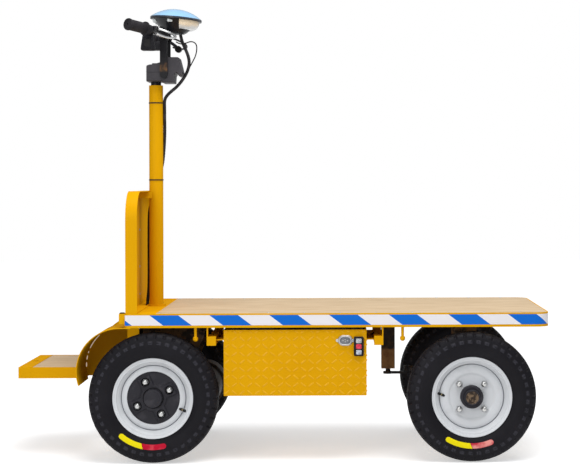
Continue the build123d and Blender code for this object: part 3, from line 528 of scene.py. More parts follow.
def wall_stripe(first, last, slant_first, slant_last):
    """A patch of the wall between two turns, in degrees: across its width each end is either
    slanted, or rounded as a half circle."""
    across = np.linspace(0, 1, 9)[:, None]
    run = np.linspace(0, 1, 25)
    radius = stripe_inner + across * (stripe_outer - stripe_inner)
    round_end = 3.2 * (1 - np.sqrt(1 - (2 * across - 1) ** 2 * 0.98))
    sense = np.sign(last - first)
    start = first + np.where(slant_first == 0, sense * round_end, slant_first * (across - 0.5))
    end = last + np.where(slant_last == 0, -sense * round_end, slant_last * (across - 0.5))
    turn = np.radians(start + run * (end - start))
    return skin(about_axis(turn, radius, wall_height(radius) + paint_height))


yellow_stripe = Finish("yellow_tyre_paint", (0.76, 0.64, 0.004), 0.5, shine=0.08)
yellow_stripe.rough(90, 3, 0.3, 0.35)
red_stripe = Finish("red_tyre_paint", (0.50, 0.008, 0.03), 0.5, shine=0.08)
red_stripe.mottled(26, 4, 0.45, 0.65, (0.45, 0.005, 0.026), (0.60, 0.055, 0.075))
red_stripe.rough(90, 3, 0.3, 0.35)
worn_stripe = Finish("worn_red_tyre_paint", (0.60, 0.10, 0.10), 0.55, shine=0.08)
worn_stripe.mottled(26, 4, 0.42, 0.62, (0.47, 0.025, 0.045), (0.72, 0.27, 0.24))
join_slant, join_gap = 3.2, 0.3
for place in wheel_boxes:
    front = place.startswith("front")
    start, middle, end = (-123.3, -91.5, -64.3) if front else (-133.0, -102.6, -73.6)
    on_wheel("yellow_stripe_", place, wall_stripe(start, middle, 0, join_slant), yellow_stripe, "tyre")
    on_wheel("red_stripe_", place, wall_stripe(middle + join_gap, end, join_slant, 0),
             worn_stripe if front else red_stripe, "tyre")


# Rims: steel drop-centre rims in silver paint. Each is pressed from sheet and welded to its
# disc, which is dished between its edge and the flat that the nuts clamp.
rim_section = mm(
    (124, 30), (133, 38.5), (138.5, 41.2), (140.8, 41.8), (141.5, 40), (141.2, 38.6), (129, 37.6),
    (126.8, 34), (126.8, -34), (129, -37.6), (141.2, -38.6), (141.5, -40), (140.8, -41.8),
    (138.5, -41.2), (133, -38.5), (124, -34), (123.2, -28), (122.2, 6), (115, 8.5), (36, 8),
    (36, 14), (75, 14), (78, 14.6), (82, 17.8), (86.5, 19), (101, 18.6), (106, 17.2), (111.5, 14.8),
    (113.2, 11.6), (114.6, 11.6), (115.2, 15), (116.5, 20), (119.5, 26.2),
)
silver = Finish("silver_wheel_paint", (0.60, 0.615, 0.635), 0.38, coat=0.2)
silver_grime = silver.noise(18, 5).clear(0.5, 0.8) * 0.35
silver_radius = silver.attribute("radius")
# Painted shade: a dark ring where the disc meets the barrel, for the shade in the groove between them.
seam_groove_shade = 1 - (silver_radius - 0.1139).size().clear(0.0004, 0.0016)
silver_tone = silver.mix(silver_grime, (0.60, 0.615, 0.635), (0.42, 0.43, 0.44))
silver.set("Base Color", silver.mix(seam_groove_shade * 0.85, silver_tone, (0.10, 0.11, 0.14)))
silver.rough(6, 4, 0.2, 0.26)
silver.grain(300, 2, 0.0002, 0.3)


rim_steps = 128
rim_radii = np.tile(rim_section[:, 0], rim_steps)
for place in wheel_boxes:
    rim = on_wheel("pressed_rim_", place, turned(rim_section, rim_steps, closed=True), silver, "silver_paint",
                   30, radius=rim_radii)
    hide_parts("rim_" + place)


# Wheel nuts: four domed zinc nuts on each wheel, on a circle 125 mm across. Each is a hexagon
# with a rounded crown, screwed down on the disc.
def hex_nut(profile, hexagon, steps=36):
    """A profile turned about Z whose low points keep to a hexagon: at each turn their radius is
    the radius to a corner times cos 30 / cos(turn from the middle of the flat)."""
    radius, height = np.array(profile).T
    turn = full_turn(steps)
    from_flat = np.mod(turn, np.pi / 3) - np.pi / 6
    flat = np.cos(np.pi / 6) / np.cos(from_flat)
    around = radius * np.where(np.arange(len(radius)) < hexagon, flat, 1)
    return skin(about_axis(turn, around, height), True)


nut_profile = mm(
    (0, 0), (11.2, 0), (12, 1.2), (12, 9.2), (10.8, 10.4), (9.9, 11.8), (9.6, 14), (8.8, 16.4),
    (7.4, 18.4), (5.2, 19.8), (2.8, 20.5), (0, 20.7),
)
nut_circle = 0.0625
front_nut_turn, rear_nut_turn = 45, 26.5
front_seat, rear_seat = 0.0140, 0.0175
for place in wheel_boxes:
    front = place.startswith("front")
    first, seat = (front_nut_turn, front_seat) if front else (rear_nut_turn, rear_seat)
    nut_places = about_axis(np.radians(first + np.arange(4) * 90), nut_circle, seat)
    on_wheel("wheel_nuts_", place, repeated(hex_nut(nut_profile, 5), nut_places), zinc, "zinc_steel", 30)


# Front hubs: black cast hubs that stand through the discs, each with a pressed cap whose sunk
# middle has rusted. They are turned, with the blind hole for the spindle at the back.
hub_black = Finish("black_cast_hub", (0.025, 0.024, 0.028), 0.5)
hub_radius = hub_black.attribute("radius")
hub_speck = hub_black.noise(120, 5)
hub_rust = hub_black.mix(hub_speck.clear(0.40, 0.62), (0.030, 0.020, 0.014), (0.17, 0.115, 0.070))
hub_dust = hub_black.noise(30, 4).clear(0.5, 0.75) * 0.6
hub_soot = hub_black.mix(hub_dust, (0.022, 0.021, 0.026), (0.055, 0.052, 0.060))
hub_black.set("Base Color", hub_black.mix(hub_radius.clear(0.0212, 0.0232), hub_rust, hub_soot))
hub_black.set("Roughness", hub_speck * 0.35 + 0.34)
hub_black.bump(hub_speck, 0.0006, 0.5)
front_hub_profile = mm(
    (0, 20), (14.3, 20), (14.3, -26), (30, -26), (30, 8), (30, 14), (40.5, 14), (40.5, 35),
    (40, 38), (38.4, 39.6), (36, 40), (31.5, 40), (29.2, 39.2), (27.8, 39.6), (27.2, 42), (27, 50),
    (26.4, 52.6), (25, 54.2), (23.6, 54.4), (22.6, 53.4), (22, 51.6), (20.5, 50.8), (12, 50.6),
    (0, 50.5),
)
hub_steps = 72
hub_radii = np.tile(front_hub_profile[:, 0], hub_steps)
for place in ("front_left", "front_right"):
    hub = on_wheel("cast_hub_", place, turned(front_hub_profile, hub_steps), hub_black, "black_paint", 30,
                   radius=hub_radii)
    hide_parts("hub_" + place)


# Rear hubs: black cast plates bolted over the discs, with four arms out to the nuts, a pocket
# round each nut and a plain domed cap in the middle.
rear_plate_back = mm(
    (92.5, 19.5), (93.8, 18), (93.8, 14.2), (30, 14.2), (30, -26), (14.3, -26), (14.3, 19), (0, 19),
)


def rear_plate(steps):
    """The plate's face as a height over each (radius, turn): the arms are the points nearer than
    22 mm to a line through a nut, a collar joins them, and a nut's pocket is sunk 14 mm round."""
    radius = np.concatenate((np.linspace(0, 0.0360, 26), np.linspace(0.0368, 0.0925, 58)))
    turn = full_turn(steps)
    from_arm = np.mod(turn - np.radians(rear_nut_turn) + np.pi / 4, np.pi / 2) - np.pi / 4
    aside = radius * np.abs(np.sin(from_arm))
    ahead = radius * np.cos(from_arm)
    arm = np.clip((0.0235 - aside) / 0.0030, 0, 1) * np.clip((0.0830 - ahead) / 0.0040, 0, 1)
    collar = np.clip((0.0500 - radius) / 0.0070, 0, 1)
    rim_bead = np.clip(1 - np.abs(radius - 0.0895) / 0.0025, 0, 1)
    face = 0.0195 + 0.0070 * np.maximum(arm, collar) + 0.0015 * rim_bead
    pocket = np.clip((0.0155 - np.hypot(ahead - nut_circle, aside)) / 0.0018, 0, 1)
    face = face + pocket * (rear_seat - face)
    groove = np.clip(1.4 - np.abs(radius - 0.0340) / 0.0020, 0, 1)
    face = face - 0.0045 * groove
    crown_line = np.clip(1 - np.abs(radius - 0.0265) / 0.0012, 0, 1)
    crown = 0.0500 - 0.0050 * (radius / 0.0310) ** 2 - 0.0012 * crown_line
    face = np.where(radius < 0.0318, crown + 0 * turn, face)
    back, height = rear_plate_back.T
    grid = np.concatenate((about_axis(turn, radius, face), about_axis(turn, back, height)), 1)
    return skin(grid, True), np.tile(np.concatenate((radius, back)), steps)


plate, plate_radii = rear_plate(192)
no_rust = 0.03
for place in ("rear_left", "rear_right"):
    hub = on_wheel("cast_hub_", place, plate, hub_black, "black_paint", 40, radius=plate_radii + no_rust)
    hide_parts("hub_" + place)


# Valves: each tube's rubber valve comes out through its disc and leans towards the rim, with a
# brass thread and a black cap.
def lined_up(axis):
    """The turn that takes Z to an axis."""
    axis = np.asarray(axis, float) / np.linalg.norm(axis)
    side = np.cross((0, 0, 1.0), axis)
    side = side / np.linalg.norm(side) if np.linalg.norm(side) > 1e-9 else np.array((1.0, 0, 0))
    return np.stack((side, np.cross(axis, side), axis), -1)


valve_rubber = Finish("valve_rubber", (0.012, 0.012, 0.012), 0.55)
valve_rubber.rough(300, 2, 0.3, 0.4)
valve_brass = Finish("valve_brass", (0.42, 0.33, 0.16), 0.35, metallic=1.0)
valve_brass.rough(300, 3, 0.3, 0.25)
valve_stem = mm((0, 0), (5.2, 0), (5.2, 5), (4.6, 12), (4, 12.8), (0, 12.8))
valve_neck = mm((0, 12), (3.4, 12), (3, 12.8), (3.4, 13.6), (3, 14.4), (3.4, 15.2), (3.4, 19), (0, 19))
valve_cap = mm((0, 18.5), (4.6, 18.5), (4.9, 20), (4.7, 28.5), (3.8, 30), (0, 30.3))
for place in wheel_boxes:
    front = place.startswith("front")
    foot, tip = mm((-96, 3, 14), (-121, 14, 30)) if front else mm((91, -39, 14), (114, -46, 30))
    turn = lined_up(tip - foot)
    for part, profile, finish in (("stem", valve_stem, valve_rubber), ("neck", valve_neck, valve_brass),
                                  ("cap", valve_cap, valve_rubber)):
        on_wheel("valve_" + part + "_", place, moved(turned(profile, 20), turn, foot), finish, "tyre")


# Battery box's skin: the outer face is tread plate, with raised bars in a herringbone of two
# directions. The bars are pressed up out of the sheet, and painted a lighter yellow than the sheet
# as a painted highlight.
box_low, box_high = (np.array(corner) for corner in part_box("battery_box"))
box_face = -0.365


def low_dome(length, width, height, rows=7, columns=13):
    """An oval bar as a height over its outline: the grid's point at (along, across), each from
    -1 to 1, is squeezed to an ellipse and raised by height times (1 - across squared)."""
    across, along = np.meshgrid(np.linspace(-1, 1, rows), np.linspace(-1, 1, columns), indexing="ij")
    half = width / 2 * np.sqrt(np.clip(1 - along ** 4, 0, 1))
    rise = height * (1 - across ** 2) * np.clip(3 * (1 - along ** 2), 0, 1)
    return skin(np.stack((along * length / 2, across * half, rise), -1))


bar_pitch, bar_margin, top_margin = 0.0270, 0.003, 0.004
bar_columns, bar_rows = np.arange(-0.1876, 0.300, bar_pitch), np.arange(0.2460, 0.4640, bar_pitch)
bar_x, bar_z = np.meshgrid(bar_columns, bar_rows, indexing="ij")
bar_turns = (np.add.outer(np.arange(len(bar_columns)), np.arange(len(bar_rows))) % 2).ravel()
bar_places = np.stack((bar_x.ravel(), np.full(bar_x.size, box_face), bar_z.ravel()), -1)
tread_parts = []
for number, slope in enumerate(np.radians((38, -38))):
    facing = ((math.cos(slope), -math.sin(slope), 0), (0, 0, -1), (math.sin(slope), math.cos(slope), 0))
    points, faces = repeated(moved(low_dome(0.0240, 0.0062, 0.0011), facing), bar_places[bar_turns == number])
    points[:, 0] = np.clip(points[:, 0], box_low[0] + bar_margin, box_high[0] - bar_margin)
    points[:, 2] = np.clip(points[:, 2], box_low[2] + bar_margin, box_high[2] - top_margin)
    tread_parts.append((points, faces))
# Painted highlight: the bars are a lighter yellow than the box round them.
bar_highlight_yellow = Finish("yellow_bars_painted_highlight", (0.72, 0.375, 0.012), 0.34)
bar_highlight_yellow.mottled(70, 3, 0.35, 0.65, (0.67, 0.335, 0.003), (0.71, 0.365, 0.008))
made("tread_plate_bars", tread_parts, bar_highlight_yellow, "chassis", "yellow_paint", 60)


# Charging socket: a silver oval flange with an ear and a rivet at each end, round a grey plug
# with pins. It is cast, and proud of the box's face.
def oval(profile, straight, steps=64):
    """A profile of (reach, height) carried round a straight line: each point is reach away from
    the nearer end of the line, so that its outline is a slot."""
    reach, height = np.array(profile, float).T
    turn = full_turn(steps) + np.pi / steps
    grid = about_axis(turn, reach, height)
    grid[..., 0] += np.sign(np.cos(turn)) * straight
    return skin(grid, True)


toward_camera = ((1, 0, 0), (0, 0, -1), (0, 1, 0))
socket_place = (0.230, box_face, 0.428)
slot_half = 0.007
cast_silver = Finish("cast_silver", (0.50, 0.51, 0.52), 0.38, metallic=0.6)
cast_silver.rough(90, 4, 0.35, 0.22)
cast_silver.grain(500, 2, 0.0002, 0.4)
grey_plastic = Finish("grey_plastic", (0.18, 0.185, 0.20), 0.5)
grey_plastic.tinted(60, 3, (0.150, 0.155, 0.175), (0.24, 0.245, 0.26))
grey_plastic.rough(200, 2, 0.3, 0.34)
socket_flange = mm(
    (11.5, 3), (12, 7.2), (12.8, 8), (14.8, 8), (16, 6.8), (16.8, 4), (18.2, 3), (18.5, 2.2),
    (18.5, 0), (11.5, 0),
)


def on_socket(name, part, finish, slot):
    """A piece of the socket, from a part built about Z, outward up."""
    return made(name, [moved(part, toward_camera, socket_place)], finish, "chassis", slot, 30)


socket = on_socket("socket_flange", oval(socket_flange, slot_half), cast_silver, "zinc_steel")
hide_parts("charge_socket")
plug_profile = mm((0, 6.2), (8, 6.2), (8.8, 5.5), (9.2, 3.5), (11.8, 3.4), (11.8, -2.5), (0, -2.5))
on_socket("socket_plug", oval(plug_profile, slot_half), grey_plastic, "black_plastic")
pin_profile = mm((0, 8), (1.8, 7.8), (2.2, 7), (2.2, 5), (0, 5))
pin_places = mm((-8, 0, 0), (0, 3.5, 0), (8, 0, 0), (0, -3.5, 0))
on_socket("socket_pins", repeated(turned(pin_profile, 12), pin_places), zinc, "zinc_steel")
ear_profile = mm((0, 4.2), (1.6, 4), (2.2, 3.4), (2.8, 3), (5.2, 2.6), (5.8, 1.6), (5.8, 0), (0, 0))
ear_places = mm((-27.5, 0, 0), (27.5, 0, 0))
on_socket("socket_ears", repeated(turned(ear_profile, 20), ear_places), cast_silver, "zinc_steel")


# Main switch: a black plate with a rounded edge, and three lit windows one over the other, the
# middle one red.
def soft_block(half, edge=0.18, rows=24, columns=48):
    """A block with soft edges, from a ball's points: each coordinate is its half size times the
    sign and a small power of the ball's coordinate."""
    tilt = np.linspace(-np.pi / 2, np.pi / 2, rows)[:, None]
    turn = np.linspace(0, 2 * np.pi, columns, endpoint=False)[None, :]
    ball = np.stack((np.cos(tilt) * np.cos(turn), np.cos(tilt) * np.sin(turn), np.sin(tilt) + 0 * turn), -1)
    return skin(half * np.sign(ball) * np.abs(ball) ** edge, ring_columns=True)


black_plastic = Finish("black_moulded_plastic", (0.010, 0.010, 0.012), 0.5, shine=0.12)
black_plastic.mottled(9, 4, 0.4, 0.7, (0.0090, 0.0085, 0.0105), (0.020, 0.019, 0.023))
black_plastic.rough(240, 3, 0.3, 0.36)
black_plastic.grain(900, 2, 0.0001, 0.5)
switch_low, switch_high = (np.array(corner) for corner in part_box("breaker_switch"))
switch_middle = (switch_low + switch_high) / 2
switch_part = moved(soft_block((0.0175, 0.0060, 0.0340), 0.16), to=switch_middle)
switch = made("switch_plate", [switch_part], black_plastic, "chassis", "black_plastic", 50)
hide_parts("breaker_switch")
switch_windows = (
    ("upper", 0.0195, (0.50, 0.52, 0.55), 0.05),
    ("middle", -0.0005, (0.62, 0.02, 0.06), 0.25),
    ("lower", -0.0205, (0.50, 0.54, 0.62), 0.05),
)
for name, height, colour, glow in switch_windows:
    window = Finish("switch_window_" + name, colour, 0.25, coat=0.6)
    window.mottled(260, 2, 0.35, 0.65, colour, [0.45 * part for part in colour])
    window.glow((*colour, 1), glow)
    place = (switch_middle[0], switch_low[1] + 0.0004, switch_middle[2] + height)
    pane = moved(soft_block((0.0098, 0.0016, 0.0082), 0.3, 12, 24), to=place)
    made("switch_window_" + name, [pane], window, "chassis", "black_plastic", 40)


# Fasteners on the guard: three zinc pan heads up the middle of its plate, on the operator's
# side. They are the same screws as the boards'.
guard_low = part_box("guard_panel")[0]
sheet_metal = 0.0030
guard_screws = [(guard_low[0] + sheet_metal, 0.0, height) for height in (0.810, 0.673, 0.569)]
toward_front = ((0, 0, 1), (0, 1, 0), (-1, 0, 0))
made("guard_screws", [repeated(moved(screw_head, toward_front), guard_screws)], zinc, "chassis", "zinc_steel")


# Stake pockets' caps: a black rubber plug in the top of each pocket behind the deck.
rubber_cap = mm((0, 3.6), (9, 3.6), (11.8, 2.8), (12.8, 1), (12.8, 0), (0, 0))
pocket_x, pocket_y, cap_sink = deck_low[0] + 0.0103, 0.355, 0.0003
cap = moved(turned(rubber_cap, 24), ((0.8, 0, 0), (0, 1.1, 0), (0, 0, 1)))
cap_places = [(pocket_x, side * pocket_y, deck_high[2] - cap_sink) for side in (-1, 1)]
made("pocket_caps", [repeated(cap, cap_places)], valve_rubber, "chassis", "black_plastic", 30)


# Cable ties: two black nylon ties hold the loom to the column. Each is a flat band drawn tight
# round the tube.
column_x, column_reach = -0.476, 0.0260
tie_section = mm((0, -2.2), (1.4, -2.2), (1.4, 2.2), (0, 2.2)) + (column_reach, 0)
tie_plastic = Finish("cable_tie_nylon", (0.014, 0.013, 0.013), 0.45)
tie_plastic.rough(400, 2, 0.3, 0.3)
tie_places = [(column_x, 0, height) for height in (1.2835, 0.9960)]
ties = repeated(turned(tie_section, 48, closed=True), tie_places)
made("column_ties", [ties], tie_plastic, "chassis", "black_plastic", 30)


# Dark steel and iron under the deck: rods, shafts, axle and motor in worn black paint, brown
# where it has weathered. The axle hangers are painted dark brown as the shade under the deck. The
# relay post is painted dark above its foot as the deck's shadow, and brown on its foot, where light
# reaches it.
def worn_black(name, paint, brown, amount, roughness, bump):
    """Black paint with brown weathering over a share of its surface."""
    finish = Finish(name, paint, roughness)
    patch = finish.noise(34, 5)
    fine = finish.noise(160, 3)
    worn = (patch * 0.7 + fine * 0.3).clear(0.62 - 0.22 * amount, 0.74 - 0.22 * amount)
    finish.set("Base Color", finish.mix(worn, paint, brown))
    finish.set("Roughness", fine * 0.3 + roughness - 0.15)
    finish.bump(fine, bump, 0.5)
    return finish


gear_black = worn_black("running_gear_black", (0.014, 0.013, 0.015), (0.065, 0.043, 0.028), 0.6, 0.5, 0.0004)
gear_black.on("rear_axle", "relay_shaft", "drag_link", "knuckle_left", "knuckle_right", "tie_rod_left",
              "tie_rod_right", "front_axle")
cast_iron = worn_black("gearcase_cast_iron", (0.040, 0.040, 0.044), (0.075, 0.060, 0.050), 0.8, 0.6, 0.0012)
cast_iron.on("drive_motor")
# Painted shade: the axle hangers are dark brown, for the shade they stand in under the deck.
hanger_painted_shade = worn_black("hanger_painted_shade", (0.020, 0.016, 0.013), (0.120, 0.070, 0.032), 0.9, 0.6, 0.0004)
hanger_painted_shade.on("axle_hangers")
# Painted shade: the post is dark above 356 mm for the deck's shadow over it, and brown below, where light
# reaches it.
post_paint = Finish("post_painted_shade", (0.030, 0.022, 0.018), 0.6)
post_shadow_edge = 0.356
post_height = post_paint.axes()[2]
post_patch = post_paint.noise(45, 5)
post_lit_foot = (post_shadow_edge - post_height + post_patch * 0.02).clear(-0.004, 0.010)
post_shadowed_tone = post_paint.mix(post_patch.clear(0.4, 0.7), (0.022, 0.017, 0.015), (0.060, 0.036, 0.020))
post_lit_tone = post_paint.mix(post_patch.clear(0.35, 0.7), (0.30, 0.165, 0.070), (0.19, 0.095, 0.040))
post_paint.set("Base Color", post_paint.mix(post_lit_foot, post_shadowed_tone, post_lit_tone))
post_paint.set("Roughness", post_patch * 0.3 + 0.45)
post_paint.bump(post_patch, 0.0006, 0.5)
post_paint.on("relay_housing")
battery_case = Finish("battery_case", (0.030, 0.032, 0.036), 0.5)
battery_case.rough(120, 3, 0.3, 0.4)
battery_case.tinted(30, 3, (0.026, 0.028, 0.032), (0.045, 0.046, 0.050))
battery_case.on("battery_pack")


# Handlebar and uprights: black painted tube and flat bar, satin, with a brown band painted on the
# uprights' round feet as a highlight.
bar_paint = worn_black("handlebar_paint", (0.009, 0.0085, 0.010), (0.024, 0.021, 0.020), 0.3, 0.38, 0.0002)
bar_paint.on("handlebar", "steering_stem")
upright_paint = Finish("upright_paint", (0.014, 0.013, 0.015), 0.42)
highlight_low, highlight_high = 1.397, 1.410
upright_height = upright_paint.axes()[2]
upright_patch = upright_paint.noise(60, 5)
# Painted highlight: a brown band round the uprights' feet, 1397 to 1410 mm up.
upright_highlight_band = ((highlight_high - upright_height + upright_patch * 0.03).clear(-0.010, 0.018)
                * (upright_height - highlight_low).clear(-0.004, 0.006))
upright_highlight_tone = upright_paint.mix(upright_patch.clear(0.35, 0.65), (0.040, 0.024, 0.013),
                                  (0.15, 0.072, 0.028))
upright_paint.set("Base Color", upright_paint.mix(upright_highlight_band, (0.009, 0.0085, 0.010), upright_highlight_tone))
upright_paint.set("Roughness", upright_patch * 0.3 + 0.28)
upright_paint.bump(upright_patch, 0.0003, 0.4)
upright_paint.on("risers")


# Control box on the column's head: a moulded black case, a low round-backed part over the stem
# and a taller one ahead of it, whose nose overhangs an arched opening for the cables.
def slab(stations, half_width, chamfer):
    """A case from stations (x, lowest, highest) along it: each is an upright ring of eight
    points, a rectangle with its corners cut by the chamfer, and the ends close to a line."""
    x, low, high = np.array(stations, float).T
    out = half_width - chamfer
    across = np.array((-out, out, half_width, half_width, out, -out, -half_width, -half_width))
    from_low = np.array((0, 0, chamfer, 0, 0, 0, 0, chamfer))
    from_high = np.array((0, 0, 0, -chamfer, 0, 0, -chamfer, 0))
    upper = np.array((0, 0, 0, 1, 1, 1, 1, 0))
    grid = np.stack((x[:, None] + 0 * across, across + 0 * x[:, None],
                     np.where(upper, high[:, None], low[:, None]) + from_low + from_high), -1)
    return skin(np.concatenate((grid[:1] * (1, 0, 1), grid, grid[-1:] * (1, 0, 1))), ring_columns=True)


pod_half = 0.0520
back_turn = np.linspace(np.pi, np.pi * 0.5, 9)
case_foot = 1.362
rear_case = [(-0.4885 + 0.0175 * math.cos(turn), case_foot, 1.4180 + 0.0070 * math.sin(turn))
             for turn in back_turn]
rear_case += [(-0.470, case_foot, 1.4290), (-0.455, case_foot, 1.4330), (-0.4462, case_foot, 1.4352)]
front_case = mm(
    (-446.2, 1357.2, 1450), (-444, 1357, 1452), (-408, 1357, 1452), (-405, 1357.5, 1452),
    (-403.5, 1384, 1452), (-399.5, 1391.2, 1452), (-395, 1393.5, 1452), (-390.5, 1391.5, 1451.8),
    (-387.5, 1386, 1451), (-386, 1382, 1448), (-381.5, 1382, 1431), (-376.8, 1385, 1412),
    (-374.4, 1389, 1401), (-373.6, 1391.5, 1396),
)
pod_parts = [slab(rear_case, pod_half, 0.0035), slab(front_case, pod_half, 0.0035)]
case_plastic = Finish("case_plastic", (0.045, 0.040, 0.047), 0.5, shine=0.3)
case_plastic.mottled(9, 4, 0.4, 0.7, (0.030, 0.027, 0.032), (0.048, 0.043, 0.050))
case_plastic.rough(240, 3, 0.3, 0.34)
case_plastic.grain(900, 2, 0.0001, 0.5)
pod = made("control_case", pod_parts, case_plastic, "steering", "black_plastic", 35)
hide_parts("control_pod")
seam_stations = [(x, 1.3954, 1.3966) for x in (-0.5064, -0.4463)]
case_seam = slab(seam_stations, pod_half + 0.0004, 0.0002)
made("control_case_seam", [case_seam], valve_rubber, "steering", "black_plastic")


# Grips: black ribbed rubber sleeves with a flange at each end and a hole in the end cap. Each is
# turned about its own line and set on the bar's end.
bar_side_points = mm((-467, 205, 1537), (-538, 300, 1549))


def hand_side(side):
    """The bar's corner by the grip, the unit step from there out along the grip, and the turn
    that takes Z to it."""
    corner, tip = bar_side_points * (1, side, 1)
    along = (tip - corner) / np.linalg.norm(tip - corner)
    return corner, along, lined_up(along)


grip_start = 0.0324
grip_ribs = np.linspace(0.012, 0.080, 35)
grip_flange = mm((11.2, 0.4), (23.8, 0.4), (25, 1.4), (25.2, 4), (24, 5.6), (20, 6.8), (19.2, 9))
grip_sleeve = [(0.0193 + 0.0007 * (number % 2), height) for number, height in enumerate(grip_ribs)]
grip_end = mm(
    (19.6, 82), (21.2, 83.2), (22, 84.8), (22, 88), (21.2, 90.8), (19, 92.1), (12, 92.4), (3.4, 92.2),
    (3, 91.4), (2.8, 85), (0, 84.8),
)
grip_profile = np.concatenate((grip_flange, grip_sleeve, grip_end))
grip_rubber = Finish("grip_rubber", (0.030, 0.027, 0.031), 0.62)
grip_rubber.mottled(20, 4, 0.4, 0.7, (0.010, 0.009, 0.011), (0.022, 0.020, 0.023))
grip_rubber.rough(260, 2, 0.25, 0.46)
grip_rubber.grain(600, 2, 0.0002, 0.5)
grip_parts = [moved(turned(grip_profile, 48), turn, corner + along * grip_start)
              for corner, along, turn in map(hand_side, (-1, 1))]
grips = made("ribbed_grips", grip_parts, grip_rubber, "steering", "rubber", 50)
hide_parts("grips")


# Brake levers: pressed levers, the right one bright and the left one black, each from a clamp on
# the bar forward and round in front of its grip. Each black clamp has an arm and a pivot bolt.
def spline_line(points, steps=8):
    """Points read along the smooth NURBS line that these points lead."""
    curve = bpy.data.curves.new("line", "CURVE")
    curve.dimensions = "3D"
    curve.resolution_u = steps
    spline = curve.splines.new("NURBS")
    spline.points.add(len(points) - 1)
    spline.points.foreach_set("co", [value for point in points for value in (*point, 1.0)])
    spline.order_u = 3
    spline.use_endpoint_u = True
    holder = bpy.data.objects.new("line", curve)
    mesh = bpy.data.meshes.new_from_object(holder)
    line = np.empty(len(mesh.vertices) * 3)
    mesh.vertices.foreach_get("co", line)
    bpy.data.objects.remove(holder)
    return line.reshape(-1, 3)


def swept(line, section, up=(0, 0, 1), swell=1.0):
    """A section of (side, top) points carried along a line, times swell: side is across both the
    line and up, top is across side and the line, and the ends close to a point."""
    ahead = np.gradient(line, axis=0)
    ahead /= np.linalg.norm(ahead, axis=1)[:, None]
    side = np.cross(np.array(up, float), ahead)
    side /= np.linalg.norm(side, axis=1)[:, None]
    top = np.cross(ahead, side)
    section = np.array(section, float)
    size = np.concatenate(([0], np.ones(len(line)) * swell, [0]))[:, None, None]
    centre, side, top = (np.concatenate((part[:1], part, part[-1:]))[:, None] for part in (line, side, top))
    grid = centre + size * (side * section[:, :1] + top * section[:, 1:])
    return skin(grid, ring_columns=True)


def round_section(reach, steps=12):
    """A circle of points."""
    return about_axis(full_turn(steps)[:, 0], reach, 0)[:, :2]


lever_points = mm(
    (-457, 165, 1548), (-436, 165, 1543), (-412, 169, 1534), (-391, 177, 1524), (-381, 196, 1514),
    (-386, 222, 1507), (-403, 247, 1505), (-424, 270, 1509), (-441, 290, 1517),
)
lever_section = mm(
    (-5.2, -1.6), (-4, -3.2), (4, -3.2), (5.2, -1.6), (5.2, 1.6), (4, 3.2), (-4, 3.2), (-5.2, 1.6),
)
lever_bright = Finish("bright_lever", (0.70, 0.70, 0.70), 0.24, metallic=0.9)
lever_bright.rough(120, 4, 0.25, 0.14)
lever_haze = lever_bright.noise(30, 3).clear(0.4, 0.7)
lever_tone = lever_bright.mix(lever_haze, (0.74, 0.74, 0.73), (0.56, 0.56, 0.57))
lever_left = lever_bright.axes()[1].clear(-0.001, 0.001)
lever_bright.set("Base Color", lever_bright.mix(lever_left, lever_tone, (0.016, 0.015, 0.017)))
lever_bright.set("Metallic", lever_left * -0.9 + 0.9)
collar_profile = mm((11.2, 0), (16.6, 0), (17.5, 1), (17.5, 20.5), (16.6, 21.5), (11.2, 21.5))
lever_parts, collar_parts, bolt_parts = [], [], []
for side in (-1, 1):
    corner, along, turn = hand_side(side)
    root = corner + along * 0.0104
    lever_parts.append(swept(spline_line(lever_points * (1, side, 1)), lever_section))
    collar_parts.append(moved(turned(collar_profile, 40, closed=True), turn, root))
    perch = spline_line(np.array((root + (0.010, 0, 0.006), root + (0.016, -side * 0.024, 0.011),
                                  (-0.452, side * 0.170, 1.5465))))
    collar_parts.append(swept(perch, round_section(0.0075, 14)))
    bolt_parts.append(moved(hex_nut(nut_profile, 5, 24), ((0.42, 0, 0), (0, 0.42, 0), (0, 0, 0.30)),
                            (-0.452, side * 0.168, 1.5520)))
levers = made("brake_lever_blades", lever_parts, lever_bright, "steering", "zinc_steel", 50)
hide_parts("brake_levers")
made("lever_clamps", collar_parts, black_plastic, "steering", "black_plastic", 40)
made("lever_bolts", bolt_parts, zinc, "steering", "zinc_steel", 30)


# Switch boxes: soft-edged black cases under the bar by each grip, wider at the foot, with a
# rocker on the outer face. The left box is about half as tall as the right one.
right_half_height, left_half_height, switch_top = 0.0318, 0.0170, 1.5290


def hand_switch(side):
    """A soft block whose half width grows a fifth from its middle to its foot."""
    half_height = right_half_height if side < 0 else left_half_height
    points, faces = soft_block((0.0225, 0.0200, half_height), 0.22, 26, 48)
    points[:, :2] *= 1 - 0.20 * points[:, 2:] / half_height
    return points + (-0.4835, side * 0.1745, switch_top - half_height), faces


switch_parts = [hand_switch(side) for side in (-1, 1)]
switches = made("hand_switches", switch_parts, black_plastic, "steering", "black_plastic", 60)
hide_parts("switch_pods")
rockers = [moved(soft_block((0.0110, 0.0022, 0.0150), 0.3, 12, 24), to=(-0.4840, -0.1955, 1.4930)),
           moved(soft_block((0.0110, 0.0022, 0.0090), 0.3, 12, 24), to=(-0.4840, 0.1945, 1.5100))]
made("hand_switch_rockers", rockers, tie_plastic, "steering", "black_plastic", 40)


# Bell: a black cup that hangs ahead of the bar on the left, on a round stalk from a clamp. It is
# turned about a line across the machine.
bell_profile = mm((0, 0), (11.5, 0), (13, 1), (13, 22), (11.5, 24), (6, 26.2), (0, 26.8))
toward_left = ((1, 0, 0), (0, 0, 1), (0, 1, 0))
bell = moved(turned(bell_profile, 28), toward_left, (-0.4060, 0.1240, 1.4960))
made("bell", [bell], tie_plastic, "steering", "black_plastic", 30)
stalk_line = spline_line(mm((-408, 136, 1500), (-428, 137, 1520), (-453.5, 137, 1532)))
made("bell_stalk", [swept(stalk_line, round_section(0.0060))], black_plastic, "steering", "black_plastic", 30)


